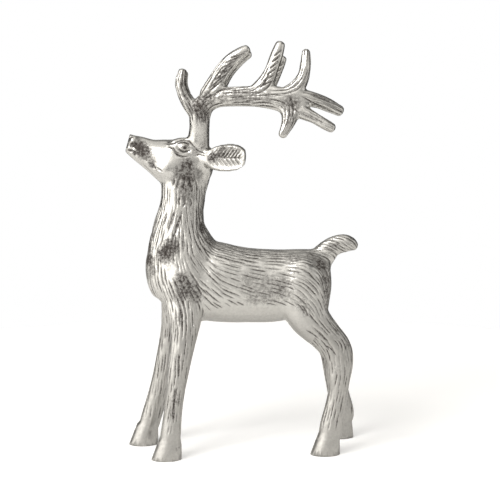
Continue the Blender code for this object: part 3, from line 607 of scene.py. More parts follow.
def smooth_rows(stations):
    """The stations with more put between them on a Catmull-Rom spline."""
    rows = np.array(stations, float)
    padded = np.vstack([2 * rows[0] - rows[1], rows, 2 * rows[-1] - rows[-2]])
    found = []
    for i in range(len(rows) - 1):
        before, start, end, after = padded[i : i + 4]
        for step in range(RINGS_PER_SPAN):
            t = step / RINGS_PER_SPAN
            found.append(
                start
                + 0.5 * t * (end - before)
                + t * t * (before - 2.5 * start + 2 * end - 0.5 * after)
                + t * t * t * (1.5 * (start - end) + 0.5 * (after - before))
            )
    found.append(rows[-1])
    return np.array(found)


def tangents_of(rows):
    """The way that the middle line runs at each row."""
    ways = np.gradient(rows[:, :3], axis=0)
    return ways / np.linalg.norm(ways, axis=1)[:, None]


def domed_end(row, outward, way, fullness):
    """The sections of a rounded end, from its tip inwards, and the tip."""
    reach = fullness * min(row[3], row[4])
    sections = []
    for step in range(END_RINGS, 0, -1):
        angle = 0.5 * math.pi * step / (END_RINGS + 1)
        section = row.copy()
        section[:3] += outward * reach * math.sin(angle)
        section[3:] *= math.cos(angle)
        sections.append((section, way))
    return sections, row[:3] + outward * reach


def add_limb(form, stations, fullness=ROUND_END):
    """Lofts elliptical sections along the stations, with domed ends, and gives the new points."""
    rows = smooth_rows(stations)
    ways = tangents_of(rows)
    start_dome, start_tip = domed_end(rows[0], -ways[0], ways[0], fullness)
    end_dome, end_tip = domed_end(rows[-1], ways[-1], ways[-1], fullness)
    sections = start_dome + list(zip(rows, ways)) + end_dome[::-1]
    loops = []
    for row, way in sections:
        across_plane = np.cross((0.0, 1.0, 0.0), way)
        across_plane /= np.linalg.norm(across_plane)
        sideways = np.cross(way, across_plane)
        loop = []
        for side in range(SIDES):
            angle = 2 * math.pi * side / SIDES
            place = row[:3] + across_plane * row[3] * math.cos(angle)
            place = place + sideways * row[4] * math.sin(angle)
            loop.append(form.verts.new(Vector(place) * UNIT))
        loops.append(loop)
    for near, far in zip(loops, loops[1:]):
        for side in range(SIDES):
            after = (side + 1) % SIDES
            form.faces.new((near[side], near[after], far[after], far[side]))
    first = form.verts.new(Vector(start_tip) * UNIT)
    last = form.verts.new(Vector(end_tip) * UNIT)
    for side in range(SIDES):
        after = (side + 1) % SIDES
        form.faces.new((loops[0][after], loops[0][side], first))
        form.faces.new((loops[-1][side], loops[-1][after], last))
    return [vert for loop in loops for vert in loop] + [first, last]


def dress_flat(verts, point, facing):
    """Presses what stands past a plane back onto it."""
    facing = Vector(facing).normalized()
    for vert in verts:
        proud = (vert.co - Vector(point) * UNIT).dot(facing)
        if proud > 0:
            vert.co -= facing * proud


def mirrored(stations):
    """The same stations on the animal's right."""
    return np.array(stations, float) * (1, -1, 1, 1, 1)


def right_antler(stations):
    """A beam or tine of the left antler, as it is on the right one."""
    rows = mirrored(stations)
    rows[:, 0] = HEAD_PIVOT_X + (rows[:, 0] - HEAD_PIVOT_X) * RIGHT_ANTLER_LENGTH
    rows[:, 1] *= RIGHT_ANTLER_SPREAD
    rows[:, 3:] *= RIGHT_ANTLER_THICKNESS
    return rows


def antler_parts():
    """The beam and the tines of both antlers, as they stand on the turned head."""
    right_tines = [right_antler(tine) for tine in LEFT_TINES]
    right_tines[2] = RIGHT_THIRD_TINE
    parts = [LEFT_BEAM, *LEFT_TINES, right_antler(LEFT_BEAM), *right_tines]
    return [turned(part) for part in parts]


def turned(rows, angle=HEAD_TURN):
    """Rows that begin with x and y, swung round the upright line through the neck as the head is."""
    found = np.array(rows, float)
    y = found[:, 1].copy()
    reach = found[:, 0] - HEAD_PIVOT_X
    found[:, 0] = HEAD_PIVOT_X + reach * math.cos(angle) + y * math.sin(angle)
    found[:, 1] = y * math.cos(angle) - reach * math.sin(angle)
    return found


def on_turned_head(*place):
    """A place on the head, swung round with it."""
    return turned([place])[0]


def add_mass(form, middle, half):
    """One egg-shaped swelling."""
    made = bmesh.ops.create_uvsphere(
        form, u_segments=MASS_SIDES, v_segments=MASS_RINGS, radius=1.0
    )
    for vert in made["verts"]:
        vert.co = Vector((m + h * c) * UNIT for m, h, c in zip(middle, half, vert.co))


def add_hoof(form, x, y, toe):
    """A hoof that flares down to the sole and runs past the floor, where it is cut."""
    top = np.array((x, y, CORONET_Z, *HOOF_TOP))
    bottom = np.array((x + toe, y, -SOLE_DROP, *HOOF_SOLE))
    add_limb(form, [top + (bottom - top) * share for share in np.linspace(0, 1, HOOF_RINGS)])


def rough_form():
    """Every limb and swelling as overlapping closed shells in one mesh."""
    form = bmesh.new()
    dress_flat(add_limb(form, TRUNK, BLUNT_END), (0, 0, BELLY_Z), (0, 0, -1))
    for limb in (NECK, TAIL, LEFT_FRONT_LEG, RIGHT_FRONT_LEG, LEFT_HIND_LEG, RIGHT_HIND_LEG):
        add_limb(form, limb)
    head = add_limb(form, turned(HEAD))
    for point, facing in NOSE_FACETS:
        facing = Matrix.Rotation(-HEAD_TURN, 3, "Z") @ Vector(facing)
        dress_flat(head, on_turned_head(*point), facing)
    for limb in (LEFT_EAR, mirrored(LEFT_EAR)):
        add_limb(form, turned(limb))
    for limb in antler_parts():
        add_limb(form, limb)
    for x, y, z, *half in BODY_MASSES:
        for side in (-1, 1):
            add_mass(form, (x, side * y, z), half)
    for x, y, z, *half in HEAD_MASSES:
        for side in (-1, 1):
            add_mass(form, on_turned_head(x, side * y, z), half)
    for x, y, toe in HOOVES:
        add_hoof(form, x, y, toe)
    mesh = bpy.data.meshes.new("reindeer")
    form.to_mesh(mesh)
    form.free()
    return mesh


def rows_of(mesh, field):
    """The place ("co") or the normal of each of the mesh's points, as rows of x, y and z."""
    flat = np.empty(len(mesh.vertices) * 3, np.float32)
    mesh.vertices.foreach_get(field, flat)
    return flat.reshape(-1, 3).astype(float)


def set_places(mesh, places):
    """Moves the mesh's points to these rows of x, y and z."""
    mesh.vertices.foreach_set("co", places.astype(np.float32).ravel())
    mesh.update()


def edge_pull(mesh):
    """A function that gives how far each point is from the middle of its neighbours."""
    ends = np.empty(len(mesh.edges) * 2, np.int32)
    mesh.edges.foreach_get("vertices", ends)
    ends = ends.reshape(-1, 2)
    count = np.bincount(ends.ravel(), minlength=len(mesh.vertices)).astype(float)[:, None]

    def pull(places):
        total = np.zeros_like(places)
        for axis in range(3):
            for one, other in (ends.T, ends.T[::-1]):
                total[:, axis] += np.bincount(one, weights=places[other, axis], minlength=len(places))
        return total / count - places

    return pull


def soften(mesh):
    """Fills the creases where limbs meet, then evens out the whole surface without shrinking it."""
    pull = edge_pull(mesh)
    places = rows_of(mesh, "co")
    for _ in range(FILLET_ROUNDS):
        set_places(mesh, places)
        normals = rows_of(mesh, "normal")
        move = pull(places)
        hollow = (move * normals).sum(1) > 0
        places = places + move * hollow[:, None] * FILLET_PULL
    for _ in range(SMOOTHING_ROUNDS):
        places = places + PULL_IN * pull(places)
        places = places - LET_OUT * pull(places)
    set_places(mesh, places)


def raise_eyes(mesh):
    """Pushes the surface out onto an eyeball on each side."""
    places = rows_of(mesh, "co")
    half = np.array(EYE_BALL) * UNIT
    for side in (-1, 1):
        x, y, z = EYE_MIDDLE
        middle = on_turned_head(x, side * y, z) * UNIT
        offset = (places - middle) / half
        flat = offset[:, 0] ** 2 + offset[:, 2] ** 2
        cap = np.sqrt(np.clip(1 - flat, 0, 1)) * half[1] * side + middle[1]
        inside = (flat < 1) & (offset[:, 1] * side > -EYE_REACH)
        places[:, 1] = np.where(inside & ((cap - places[:, 1]) * side > 0), cap, places[:, 1])
    set_places(mesh, places)


def photo_ray(px, py):
    """The line of sight through a pixel of the photograph, as its start and its way."""
    start = Vector(CAMERA_PLACE) * UNIT
    ahead = (Vector(CAMERA_AIM) - Vector(CAMERA_PLACE)).normalized()
    right = ahead.cross(Vector((0, 0, 1))).normalized()
    up = right.cross(ahead)
    half = PHOTO_SIZE / 2
    way = ahead * PIXELS_AT_ONE + right * (px - half) - up * (py - half)
    return start, way.normalized()


def point_finder(places):
    """A tree that finds which points are near a place."""
    finder = kdtree.KDTree(len(places))
    for index, place in enumerate(places):
        finder.insert(place, index)
    finder.balance()
    return finder


class Carver:
    """Collects cuts and ridges on a mesh, then moves its points by the strongest of each."""

    def __init__(self, mesh):
        self.mesh = mesh
        self.places = rows_of(mesh, "co")
        self.normals = rows_of(mesh, "normal")
        self.depth = np.zeros(len(self.places))
        self.raised = np.zeros(len(self.places))
        self.finder = point_finder(self.places)
        corners = np.empty(len(mesh.polygons) * 4, np.int32)
        mesh.polygons.foreach_get("vertices", corners)
        self.tree = BVHTree.FromPolygons(self.places.tolist(), corners.reshape(-1, 4).tolist())

    def stroke(self, path, reach, depth, ridge=False):
        """A groove or a ridge along the path, which runs out towards both ends."""
        spacing = DENT_SPACING * reach * UNIT
        points = [Vector(point) for point in path]
        lengths = [(b - a).length for a, b in zip(points, points[1:])]
        whole = sum(lengths)
        done = 0.0
        field = self.raised if ridge else self.depth
        for start, end, length in zip(points, points[1:], lengths):
            steps = max(1, int(length / spacing))
            for step in range(steps):
                share = (done + length * step / steps) / whole
                fade = min(1.0, share / FURROW_TAPER, (1 - share) / FURROW_TAPER)
                self.dent(field, start.lerp(end, step / steps), reach * UNIT, depth * fade)
            done += length

    def dent(self, field, point, reach, depth):
        """A shallow bowl, kept where it is stronger than what is there already."""
        for _, index, distance in self.finder.find_range(point, reach):
            bowl = depth * (1 - (distance / reach) ** 2) ** 2
            if bowl > field[index]:
                field[index] = bowl

    def seen(self, px, py):
        """Where the line of sight through a pixel of the photograph meets the surface."""
        return self.tree.ray_cast(*photo_ray(px, py))[0]

    def photo_line(self, pixels):
        """A line given in pixels, laid on the surface that faces the camera."""
        fine = smooth_rows([(px, py, 0, 0, 0) for px, py in pixels])
        found = [self.seen(row[0], row[1]) for row in fine]
        return [point for point in found if point is not None]

    def other_side(self, path, on_head):
        """The same line on the animal's far side."""
        found = []
        for point in path:
            place = np.array([point]) / UNIT
            x, _, z = turned(place, -HEAD_TURN)[0] if on_head else place[0]
            ends = [(x, CLEAR_OF_HEAD, z), (x, 0, z)]
            outside, inside = (Vector(end) * UNIT for end in (turned(ends) if on_head else ends))
            hit = self.tree.ray_cast(outside, inside - outside)[0]
            if hit is not None:
                found.append(hit)
        return found

    def finish(self):
        """Moves the surface by what was cut and raised."""
        move = (self.raised - self.depth) * UNIT
        set_places(self.mesh, self.places + self.normals * move[:, None])


def both_sides(carver, lines, on_head, ridge=False):
    """Cuts or raises lines of the photograph on the near side and their mirror image on the far one."""
    for pixels, reach, depth in lines:
        near = carver.photo_line(pixels)
        for path in (near, carver.other_side(near, on_head)):
            if len(path) > 1:
                carver.stroke(path, reach, depth, ridge=ridge)


def trace(tree, start, way_at, length):
    """Points on the surface that follow the combed way from a start."""
    path = [start]
    place = start
    for _ in range(int(length / TRACE_STEP)):
        way = way_at(place)
        normal = tree.find_nearest(place)[1]
        along = way - normal * way.dot(normal)
        if along.length < HEAD_ON:
            break
        place = tree.find_nearest(place + along.normalized() * TRACE_STEP * UNIT)[0]
        path.append(place)
    return path


def blended_way(spots, ways, axes, softness):
    """A function that gives the way strokes run at a place, mostly from the nearest spots."""

    def way_at(place):
        offset = spots - np.array(place)[axes] / UNIT
        weight = 1 / (softness + (offset**2).sum(1)) ** 2
        return Vector((ways * weight[:, None]).sum(0)).normalized()

    return way_at


def long_spread(carver, dice, candidates, way_at, along, across, most):
    """Places taken at random that keep further apart along the coat than across it."""
    starts = np.empty((most, 3))
    count = 0
    for index in dice.permutation(candidates):
        place = carver.places[index]
        if count:
            offset = (starts[:count] - place) / UNIT
            near = np.abs(offset).max(1) < along
            if near.any():
                offset = offset[near]
                way = np.array(way_at(place))
                forward = offset @ way
                sideways = (offset**2).sum(1) - forward**2
                if ((forward / along) ** 2 + sideways / across**2).min() < 1:
                    continue
        starts[count] = place
        count += 1
        if count == most:
            break
    return [Vector(start) for start in starts[:count]]


def is_coat(place):
    """Whether strokes may run over a place: not on the hooves, nor in the places that are nearly bare."""
    x, z = place.x / UNIT, place.z / UNIT
    return z > COAT_LOW_Z and all(
        ((x - row[0]) / row[2]) ** 2 + ((z - row[1]) / row[3]) ** 2 > 1 for row in BARE_PLACES
    )


def chase_coat(carver, dice, settings):
    """The chased strokes of the coat, laid along the way that the hair runs."""
    arrows = np.array(COAT, float)
    ways = arrows[:, 2:] / np.linalg.norm(arrows[:, 2:], axis=1)[:, None]
    way_at = blended_way(arrows[:, :2], np.insert(ways, 1, 0, axis=1), [0, 2], COAT_SOFTNESS)
    heights = carver.places[:, 2] / UNIT
    coat = (heights > COAT_LOW_Z) & (heights < COAT_HIGH_Z)
    chance = dice.random(len(heights))
    for x, z, half_x, half_z, share in SMOOTH_PLACES:
        offset = ((carver.places[:, 0] / UNIT - x) / half_x) ** 2 + ((heights - z) / half_z) ** 2
        coat &= (offset > 1) | (chance > share)
    far_legs = (heights < FAR_LEGS_Z) & (carver.places[:, 1] > 0)
    coat &= ~far_legs | (chance > FAR_LEGS_SHARE)
    candidates = dice.permutation(np.nonzero(coat)[0])[:COAT_TRIES]
    across = STROKE_ACROSS * settings.stroke_spacing
    starts = long_spread(carver, dice, candidates, way_at, STROKE_ALONG, across, MOST_STROKES)
    for start in starts:
        path = trace(carver.tree, start, way_at, STROKE_LENGTH * dice.uniform(*FURROW_LENGTHS))
        path = [place for place in path if is_coat(place)]
        if len(path) > LEAST_STROKE:
            depth = STROKE_DEPTH * settings.stroke_depth * dice.uniform(*STROKE_DEPTHS)
            carver.stroke(path, STROKE_REACH * dice.uniform(*STROKE_REACHES), depth)


def chase_antlers(carver, dice):
    """Flowing cuts like bark along the beams and tines."""
    lines = [smooth_rows(part) for part in antler_parts()]
    spots = np.vstack([line[:, :3] for line in lines])
    ways = np.vstack([tangents_of(line) for line in lines])
    way_at = blended_way(spots, ways, [0, 1, 2], BARK_SOFTNESS)
    barked = carver.places[:, 2] / UNIT > BARK_LOW_Z
    per_antler = len(lines) // 2
    ribbed = [number + 1 for number, _ in RIBBED_TINES]
    for index, rows in enumerate(lines):
        bare = rows[len(rows) // BARKED_PARTS :] if index % per_antler in ribbed else rows[-1:]
        for row in bare:
            barked &= ((carver.places / UNIT - row[:3]) ** 2).sum(1) > CLEAR_OF_TIP**2
    candidates = dice.permutation(np.nonzero(barked)[0])[:BARK_TRIES]
    starts = long_spread(carver, dice, candidates, way_at, BARK_ALONG, BARK_ACROSS, MOST_BARK)
    for start in starts:
        path = trace(carver.tree, start, way_at, BARK_LENGTH * dice.uniform(*FURROW_LENGTHS))
        if len(path) > LEAST_BARK:
            fine = 1 if path[0].x < BEAM_END_X * UNIT else FINE_BARK
            carver.stroke(path, BARK_REACH, BARK_DEPTH * fine * dice.uniform(*BARK_DEPTHS))


def rib_tines(carver):
    """Slanting grooves that leave ribs across the flat of two tines, on both faces of each."""
    tines = antler_parts()
    per_antler = len(tines) // 2
    for antler in (0, per_antler):
        for number, slant in RIBBED_TINES:
            rows = smooth_rows(tines[antler + 1 + number])
            ways = tangents_of(rows)
            gaps = np.linalg.norm(np.diff(rows[:, :3], axis=0), axis=1)
            reach = np.concatenate([[0], np.cumsum(gaps)])
            for at in np.arange(RIB_START, reach[-1] - CLEAR_OF_TIP, RIB_PITCH):
                row = np.array([np.interp(at, reach, rows[:, column]) for column in range(5)])
                way = np.array([np.interp(at, reach, ways[:, column]) for column in range(3)])
                upright = np.cross((0.0, 1.0, 0.0), way)
                upright /= np.linalg.norm(upright)
                for side in (-1, 1):
                    path = []
                    for share in np.linspace(-RIB_HALF, RIB_HALF, RIB_POINTS):
                        place = row[:3] + (upright + way * slant) * share * row[3]
                        place[1] += side * row[4]
                        path.append(carver.tree.find_nearest(Vector(place) * UNIT)[0])
                    carver.stroke(path, RIB_REACH, RIB_DEPTH)


def stipple(carver, dice, tarnish_and_shade):
    """Small punch marks where the patches of tarnish and painted shade sit on the face, the throat and the
    antlers.
    """
    marked = np.nonzero((carver.places[:, 2] / UNIT > STIPPLE_LOW_Z) & (tarnish_and_shade > STIPPLE_FROM))[0]
    for index in dice.permutation(marked)[: len(marked) // STIPPLE_SHARE]:
        depth = STIPPLE_DEPTH * tarnish_and_shade[index] * dice.uniform(*STIPPLE_DEPTHS)
        reach = STIPPLE_REACH * UNIT * dice.uniform(*STIPPLE_REACHES)
        carver.dent(carver.depth, carver.places[index], reach, depth)


def step_coronets(carver):
    """The worn step where each leg's coat ends above its hoof."""
    for x, y, _ in HOOVES:
        offset = carver.places[:, :2] / UNIT - np.array((x, y))
        near = (offset**2).sum(1) < CLEAR_OF_HOOF**2
        angle = np.arctan2(offset[:, 1], offset[:, 0])
        height = CORONET_Z + STEP_WANDER * np.sin(STEP_WAVES * angle)
        share = (carver.places[:, 2] / UNIT - height) / STEP_REACH
        step = STEP_DEPTH * np.exp(-(share**2)) * near
        carver.depth = np.maximum(carver.depth, step)


def hollow_ears(mesh):
    """Scoops the outward face of each ear and leaves its rim, with two rows of ribs off a midline."""
    places = rows_of(mesh, "co")
    unturned = turned(places / UNIT, -HEAD_TURN)
    side = np.sign(unturned[:, 1])
    along = (unturned[:, 0] - EAR_ROOT_X) / (EAR_TIP_X - EAR_ROOT_X)
    across = np.abs(unturned[:, 2] - EAR_MIDDLE_Z) / EAR_HALF_HEIGHT
    outline = np.clip(1 - (2 * along - 1) ** 2, 0, 1) ** EAR_OUTLINE_POWER
    share = across / np.maximum(outline * EAR_RIM, LEAST_SHARE)
    start, end = EAR_HOLLOW
    inside = (along > start) & (along < end) & (share < 1) & (unturned[:, 1] * side > EAR_INNER_Y)
    inside &= rows_of(mesh, "normal")[:, 1] * side > EAR_FACING
    fade_in, fade_out = EAR_FADES
    fade = np.clip((along - start) / fade_in, 0, 1) * np.clip((end - along) / fade_out, 0, 1)
    upper = unturned[:, 2] > EAR_MIDDLE_Z
    count = np.where(upper, EAR_FINE_RIBS, EAR_RIBS)
    ribs = 0.5 + 0.5 * np.cos(2 * math.pi * count * (along - EAR_RIB_SLANT * across))
    ribs = ribs * np.clip(share / EAR_MIDLINE, 0, 1)
    depth = (EAR_HOLLOW_DEPTH - EAR_RIB_DEPTH * ribs) * (1 - share**4) * fade
    depth = np.where(inside, depth, 0)
    places[:, 1] -= side * depth * UNIT
    set_places(mesh, places)
    # Patina settles between the ribs, most of it in the upper half
    settled = (1 - ribs) * (1 - share**4) * np.where(upper, 1, EAR_BRIGHT_HALF)
    return np.where(inside, settled * fade, 0)


def model_form():
    """The whole animal as one smooth clay form, before it is carved."""
    bpy.ops.object.select_all(action="DESELECT")
    reindeer = bpy.data.objects.new("reindeer_casting", rough_form())
    bpy.context.scene.collection.objects.link(reindeer)
    bpy.context.view_layer.objects.active = reindeer
    reindeer.select_set(True)
    fuse = reindeer.modifiers.new("Fuse", "REMESH")
    fuse.mode = "VOXEL"
    fuse.voxel_size = CLAY_GRAIN
    bpy.ops.object.modifier_apply(modifier=fuse.name)
    soften(reindeer.data)
    finer = reindeer.modifiers.new("Finer grain", "SUBSURF")
    finer.levels = finer.render_levels = 1
    bpy.ops.object.modifier_apply(modifier=finer.name)
    return reindeer


def dress_nose(mesh):
    """Presses the flat facets into the tip of the nose again, now that the form is fine."""
    places = rows_of(mesh, "co")
    for point, facing in NOSE_FACETS:
        facing = np.array(Matrix.Rotation(-HEAD_TURN, 3, "Z") @ Vector(facing).normalized())
        point = on_turned_head(*point) - facing * NOSE_BITE
        proud = (places - point * UNIT) @ facing
        proud = np.where(places[:, 0] < NOSE_FROM_X * UNIT, proud, 0)
        places -= facing * np.clip(proud, 0, None)[:, None]
    set_places(mesh, places)


def tarnish_and_shade_at(carver):
    """How strongly each point lies in one of the soft dark patches, which are partly tarnish and partly
    painted shade and painted dark reflections.
    """
    strength = np.zeros(len(carver.places))
    for px, py, radius, most in TARNISH_AND_SHADE:
        near = carver.seen(px, py)
        if near is None:
            continue
        for point in (near, Vector((near.x, -near.y, near.z))):
            squared = (((carver.places - np.array(point)) / (radius * UNIT)) ** 2).sum(1)
            strength = np.maximum(strength, most * np.exp(-PATCH_FALLOFF * squared**2))
    return strength


def carve(reindeer, settings):
    """Cuts the face, ears, coat, antlers and hooves. Gives how deeply each point is cut, and how strongly
    it lies in the patches of tarnish and painted shade.
    """
    mesh = reindeer.data
    raise_eyes(mesh)
    dress_nose(mesh)
    ribs = hollow_ears(mesh)
    dice = np.random.default_rng(CARVING_SEED)
    carver = Carver(mesh)
    tarnish_and_shade = tarnish_and_shade_at(carver)
    both_sides(carver, FACE_CUTS, True)
    both_sides(carver, FACE_RIDGES, True, ridge=True)
    both_sides(carver, ANTLER_LINES, True)
    both_sides(carver, DEEP_LOCKS, False)
    stipple(carver, dice, tarnish_and_shade)
    chase_coat(carver, dice, settings)
    chase_antlers(carver, dice)
    rib_tines(carver)
    step_coronets(carver)
    carver.finish()
    cut = np.clip(np.maximum(carver.depth / DARKEST_CUT, ribs), 0, 1)
    # Lips and lids are rubbed bright
    rubbed = np.clip(carver.raised / WELL_RAISED, 0, 1)
    return cut, tarnish_and_shade * (1 - rubbed)


def store(mesh, name, values):
    """Keeps one number for each point of the mesh, for its material to read."""
    layer = mesh.attributes.new(name, "FLOAT", "POINT")
    layer.data.foreach_set("value", values.astype(np.float32))


def thin_out(reindeer, cut, tarnish_and_shade):
    """Leaves the triangles that the carving needs, and hands the cut and the tarnish and painted shade on
    to them.
    """
    before = point_finder(rows_of(reindeer.data, "co"))
    thinner = reindeer.modifiers.new("Thin out", "DECIMATE")
    thinner.ratio = MOST_TRIANGLES / (2 * len(reindeer.data.polygons))
    bpy.ops.object.modifier_apply(modifier=thinner.name)
    cut_soles(reindeer.data)
    found = [before.find(place)[1] for place in rows_of(reindeer.data, "co")]
    store(reindeer.data, "cut", cut[found])
    store(reindeer.data, "tarnish_and_shade", tarnish_and_shade[found])


def cut_soles(mesh):
    """Cuts the hooves flat on the floor and closes the cuts."""
    form = bmesh.new()
    form.from_mesh(mesh)
    bmesh.ops.bisect_plane(
        form,
        geom=[*form.verts, *form.edges, *form.faces],
        dist=FLOOR_TOLERANCE,
        plane_co=(0, 0, 0),
        plane_no=(0, 0, 1),
        clear_inner=True,
    )
    rims = [edge for edge in form.edges if edge.is_boundary]
    bmesh.ops.holes_fill(form, edges=rims)
    bmesh.ops.triangulate(form, faces=[face for face in form.faces if len(face.verts) > 3])
    form.to_mesh(mesh)
    form.free()


def stand_in_frame(mesh):
    """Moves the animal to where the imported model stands, and gives how far it moved."""
    places = rows_of(mesh, "co")
    middle = (places.min(0) + places.max(0)) / 2
    wanted = (np.array(CAD_LOW) + np.array(CAD_HIGH)) / 2
    move = wanted - middle
    move[2] = 0
    set_places(mesh, places + move)
    return move


def from_hex(code):
    """An sRGB colour such as C8C4BB as a linear one."""
    parts = [int(code[i : i + 2], 16) / 255 for i in (0, 2, 4)]
    return tuple(c / 12.92 if c <= 0.04045 else ((c + 0.055) / 1.055) ** 2.4 for c in parts)


def add_node(tree, kind, inputs=None, **settings):
    """Adds a node, sets its settings, and fills its inputs with values or with links from sockets."""
    node = tree.nodes.new(kind)
    for name, value in settings.items():
        setattr(node, name, value)
    for key, value in (inputs or {}).items():
        if isinstance(value, bpy.types.NodeSocket):
            tree.links.new(value, node.inputs[key])
        else:
            node.inputs[key].default_value = value
    return node


def ramp(tree, value, start, end, low=0.0, high=1.0, shape="LINEAR"):
    """Runs from low to high while the value runs from start to end, and is held beyond."""
    inputs = {"Value": value, "From Min": start, "From Max": end, "To Min": low, "To Max": high}
    node = add_node(tree, "ShaderNodeMapRange", inputs, clamp=True, interpolation_type=shape)
    return node.outputs["Result"]


def maths(tree, operation, *values, clamp=False):
    """One step of arithmetic on sockets and numbers."""
    inputs = dict(enumerate(values))
    return add_node(tree, "ShaderNodeMath", inputs, operation=operation, use_clamp=clamp).outputs[0]


def noise(tree, place, size, detail, roughness):
    """Soft noise with features up to this size, in metres."""
    inputs = {"Vector": place, "Scale": 1 / size, "Detail": detail, "Roughness": roughness}
    return add_node(tree, "ShaderNodeTexNoise", inputs).outputs["Fac"]


def cast_aluminium(settings):
    """Sand-cast aluminium, chased and polished by hand.

    The metal is a warm pale grey with soft, slightly broken reflections. Brown-grey oxide stays in the
    cuts and in a few patches, which are partly tarnish and partly painted shade and painted dark
    reflections. The head, neck and chest are polished brightest, and the legs least.
    """
    metal = bpy.data.materials.new("chased_cast_aluminium")
    metal.use_nodes = True
    tree = metal.node_tree
    shader = tree.nodes["Principled BSDF"]
    place = add_node(tree, "ShaderNodeTexCoord").outputs["Object"]
    height = add_node(tree, "ShaderNodeSeparateXYZ", {"Vector": place}).outputs["Z"]
    cut = add_node(tree, "ShaderNodeAttribute", attribute_name="cut").outputs["Fac"]
    # Strength of the dark patches, which are partly tarnish and partly painted shade and painted dark
    # reflections
    tarnish_and_shade = add_node(tree, "ShaderNodeAttribute", attribute_name="tarnish_and_shade").outputs["Fac"]
    # Cast grain up to 1.4 mm across, hand-dressed waves up to 8 mm, oxide blotches up to 2 mm
    grain = noise(tree, place, 0.0014, 3.0, 0.6)
    waves = noise(tree, place, 0.008, 2.0, 0.5)
    blotch = noise(tree, place, 0.0019, 3.0, 0.7)
    speckle = ramp(tree, blotch, 0.42, 0.58)
    # The patches of tarnish and painted shade are solid where they are strong and break up into specks
    # where they are weak
    tarnish_and_shade_patch = ramp(tree, maths(tree, "MULTIPLY_ADD", speckle, 0.45, tarnish_and_shade), 0.28, 1.3)
    worn = ramp(tree, speckle, 0.0, 1.0, 0.72, 1.0)
    settled = maths(tree, "MULTIPLY", ramp(tree, cut, 0.1, 0.8), worn)
    oxide_and_shade = maths(tree, "MAXIMUM", settled, tarnish_and_shade_patch, clamp=True)
    # A faint veil of oxide over the whole casting, stronger where the blotches are, and a darker tone
    # towards the bottom of the legs
    veil = ramp(tree, blotch, 0.35, 0.7, 0.0, 0.14)
    veil = maths(tree, "ADD", veil, ramp(tree, height, 0.085, 0.12, 0.27, 0.0, "SMOOTHSTEP"))
    covered = maths(tree, "MAXIMUM", oxide_and_shade, veil)
    shades = {"Factor": covered, "A": (*settings.metal_colour, 1.0), "B": (*settings.oxide_and_shade_colour, 1.0)}
    colour = add_node(tree, "ShaderNodeMix", shades, data_type="RGBA")
    tree.links.new(colour.outputs["Result"], shader.inputs["Base Color"])
    # Polished high up on the head, neck and chest, duller down the legs, and uneven by the waves
    dull, bright = settings.dull_roughness, settings.bright_roughness
    polish = ramp(tree, height, 0.10, 0.19, dull, bright, "SMOOTHSTEP")
    rough = maths(tree, "ADD", polish, maths(tree, "MULTIPLY_ADD", waves, 0.12, -0.06))
    # Oxide, and the painted shade in the patches, are rougher and no metal, so they mirror little
    rough = maths(tree, "MULTIPLY_ADD", oxide_and_shade, 0.25, rough, clamp=True)
    tree.links.new(rough, shader.inputs["Roughness"])
    tree.links.new(ramp(tree, oxide_and_shade, 0.0, 1.0, 1.0, 0.3), shader.inputs["Metallic"])
    # Relief of the dressed waves, then of the grain over them
    relief = {"Height": waves, "Strength": 0.5, "Distance": 0.0006}
    dressed = add_node(tree, "ShaderNodeBump", relief).outputs["Normal"]
    relief = {"Height": grain, "Strength": 0.35, "Distance": 0.00025, "Normal": dressed}
    sandy = add_node(tree, "ShaderNodeBump", relief).outputs["Normal"]
    tree.links.new(sandy, shader.inputs["Normal"])
    return metal


def studio_sheet(colour, glow):
    """Matt white paper sweep, which shows only the soft shadow."""
    paper = bpy.data.materials.new("matt_white_paper")
    paper.use_nodes = True
    tree = paper.node_tree
    shader = tree.nodes["Principled BSDF"]
    shader.inputs["Base Color"].default_value = (*colour, 1.0)
    shader.inputs["Roughness"].default_value = 0.9
    shader.inputs["Specular IOR Level"].default_value = 0.1
    # Light that comes through the paper from below, as on a lit table. The metal mirrors only a part of it.
    shader.inputs["Emission Color"].default_value = (1.0, 1.0, 1.0, 1.0)
    seen = add_node(tree, "ShaderNodeLightPath").outputs["Is Camera Ray"]
    strength = ramp(tree, seen, 0.0, 1.0, glow * MIRRORED_GLOW, glow)
    tree.links.new(strength, shader.inputs["Emission Strength"])
    return paper


def soft_box(name, place, size, aim, power):
    """A large square light that faces its aim."""
    bpy.ops.object.light_add(type="AREA", location=place)
    lamp = bpy.context.object
    lamp.name = name
    lamp.data.shape = "RECTANGLE"
    lamp.data.size, lamp.data.size_y = size
    lamp.data.energy = power
    way = Vector(aim) - Vector(place)
    lamp.rotation_euler = way.to_track_quat("-Z", "Y").to_euler()


def tent(world, settings):
    """The tent round the object: brightest at the left, softer elsewhere, and dark between its panels.

    The directions are fixed ones of the room, and what the camera sees directly is plain white.
    """
    world.use_nodes = True
    tree = world.node_tree
    tree.nodes.clear()
    way = add_node(tree, "ShaderNodeTexCoord").outputs["Generated"]
    total = settings.room_grey
    for panel, facing, inner, outer, glow in PANELS:
        inputs = {0: way, 1: Vector(facing).normalized()}
        toward = add_node(tree, "ShaderNodeVectorMath", inputs, operation="DOT_PRODUCT", label=panel)
        edges = math.cos(math.radians(outer)), math.cos(math.radians(inner))
        lit = ramp(tree, toward.outputs["Value"], *edges, 0.0, glow * settings.tent_power, "SMOOTHSTEP")
        total = maths(tree, "ADD", total, lit)
    room = add_node(tree, "ShaderNodeBackground", {"Color": (*from_hex("FFFDF9"), 1.0), "Strength": total})
    white = add_node(tree, "ShaderNodeBackground", {"Color": (1.0, 1.0, 1.0, 1.0), "Strength": 1.0})
    seen = add_node(tree, "ShaderNodeLightPath").outputs["Is Camera Ray"]
    both = add_node(tree, "ShaderNodeMixShader", {0: seen, 1: room.outputs[0], 2: white.outputs[0]})
    out = add_node(tree, "ShaderNodeOutputWorld")
    tree.links.new(both.outputs[0], out.inputs["Surface"])


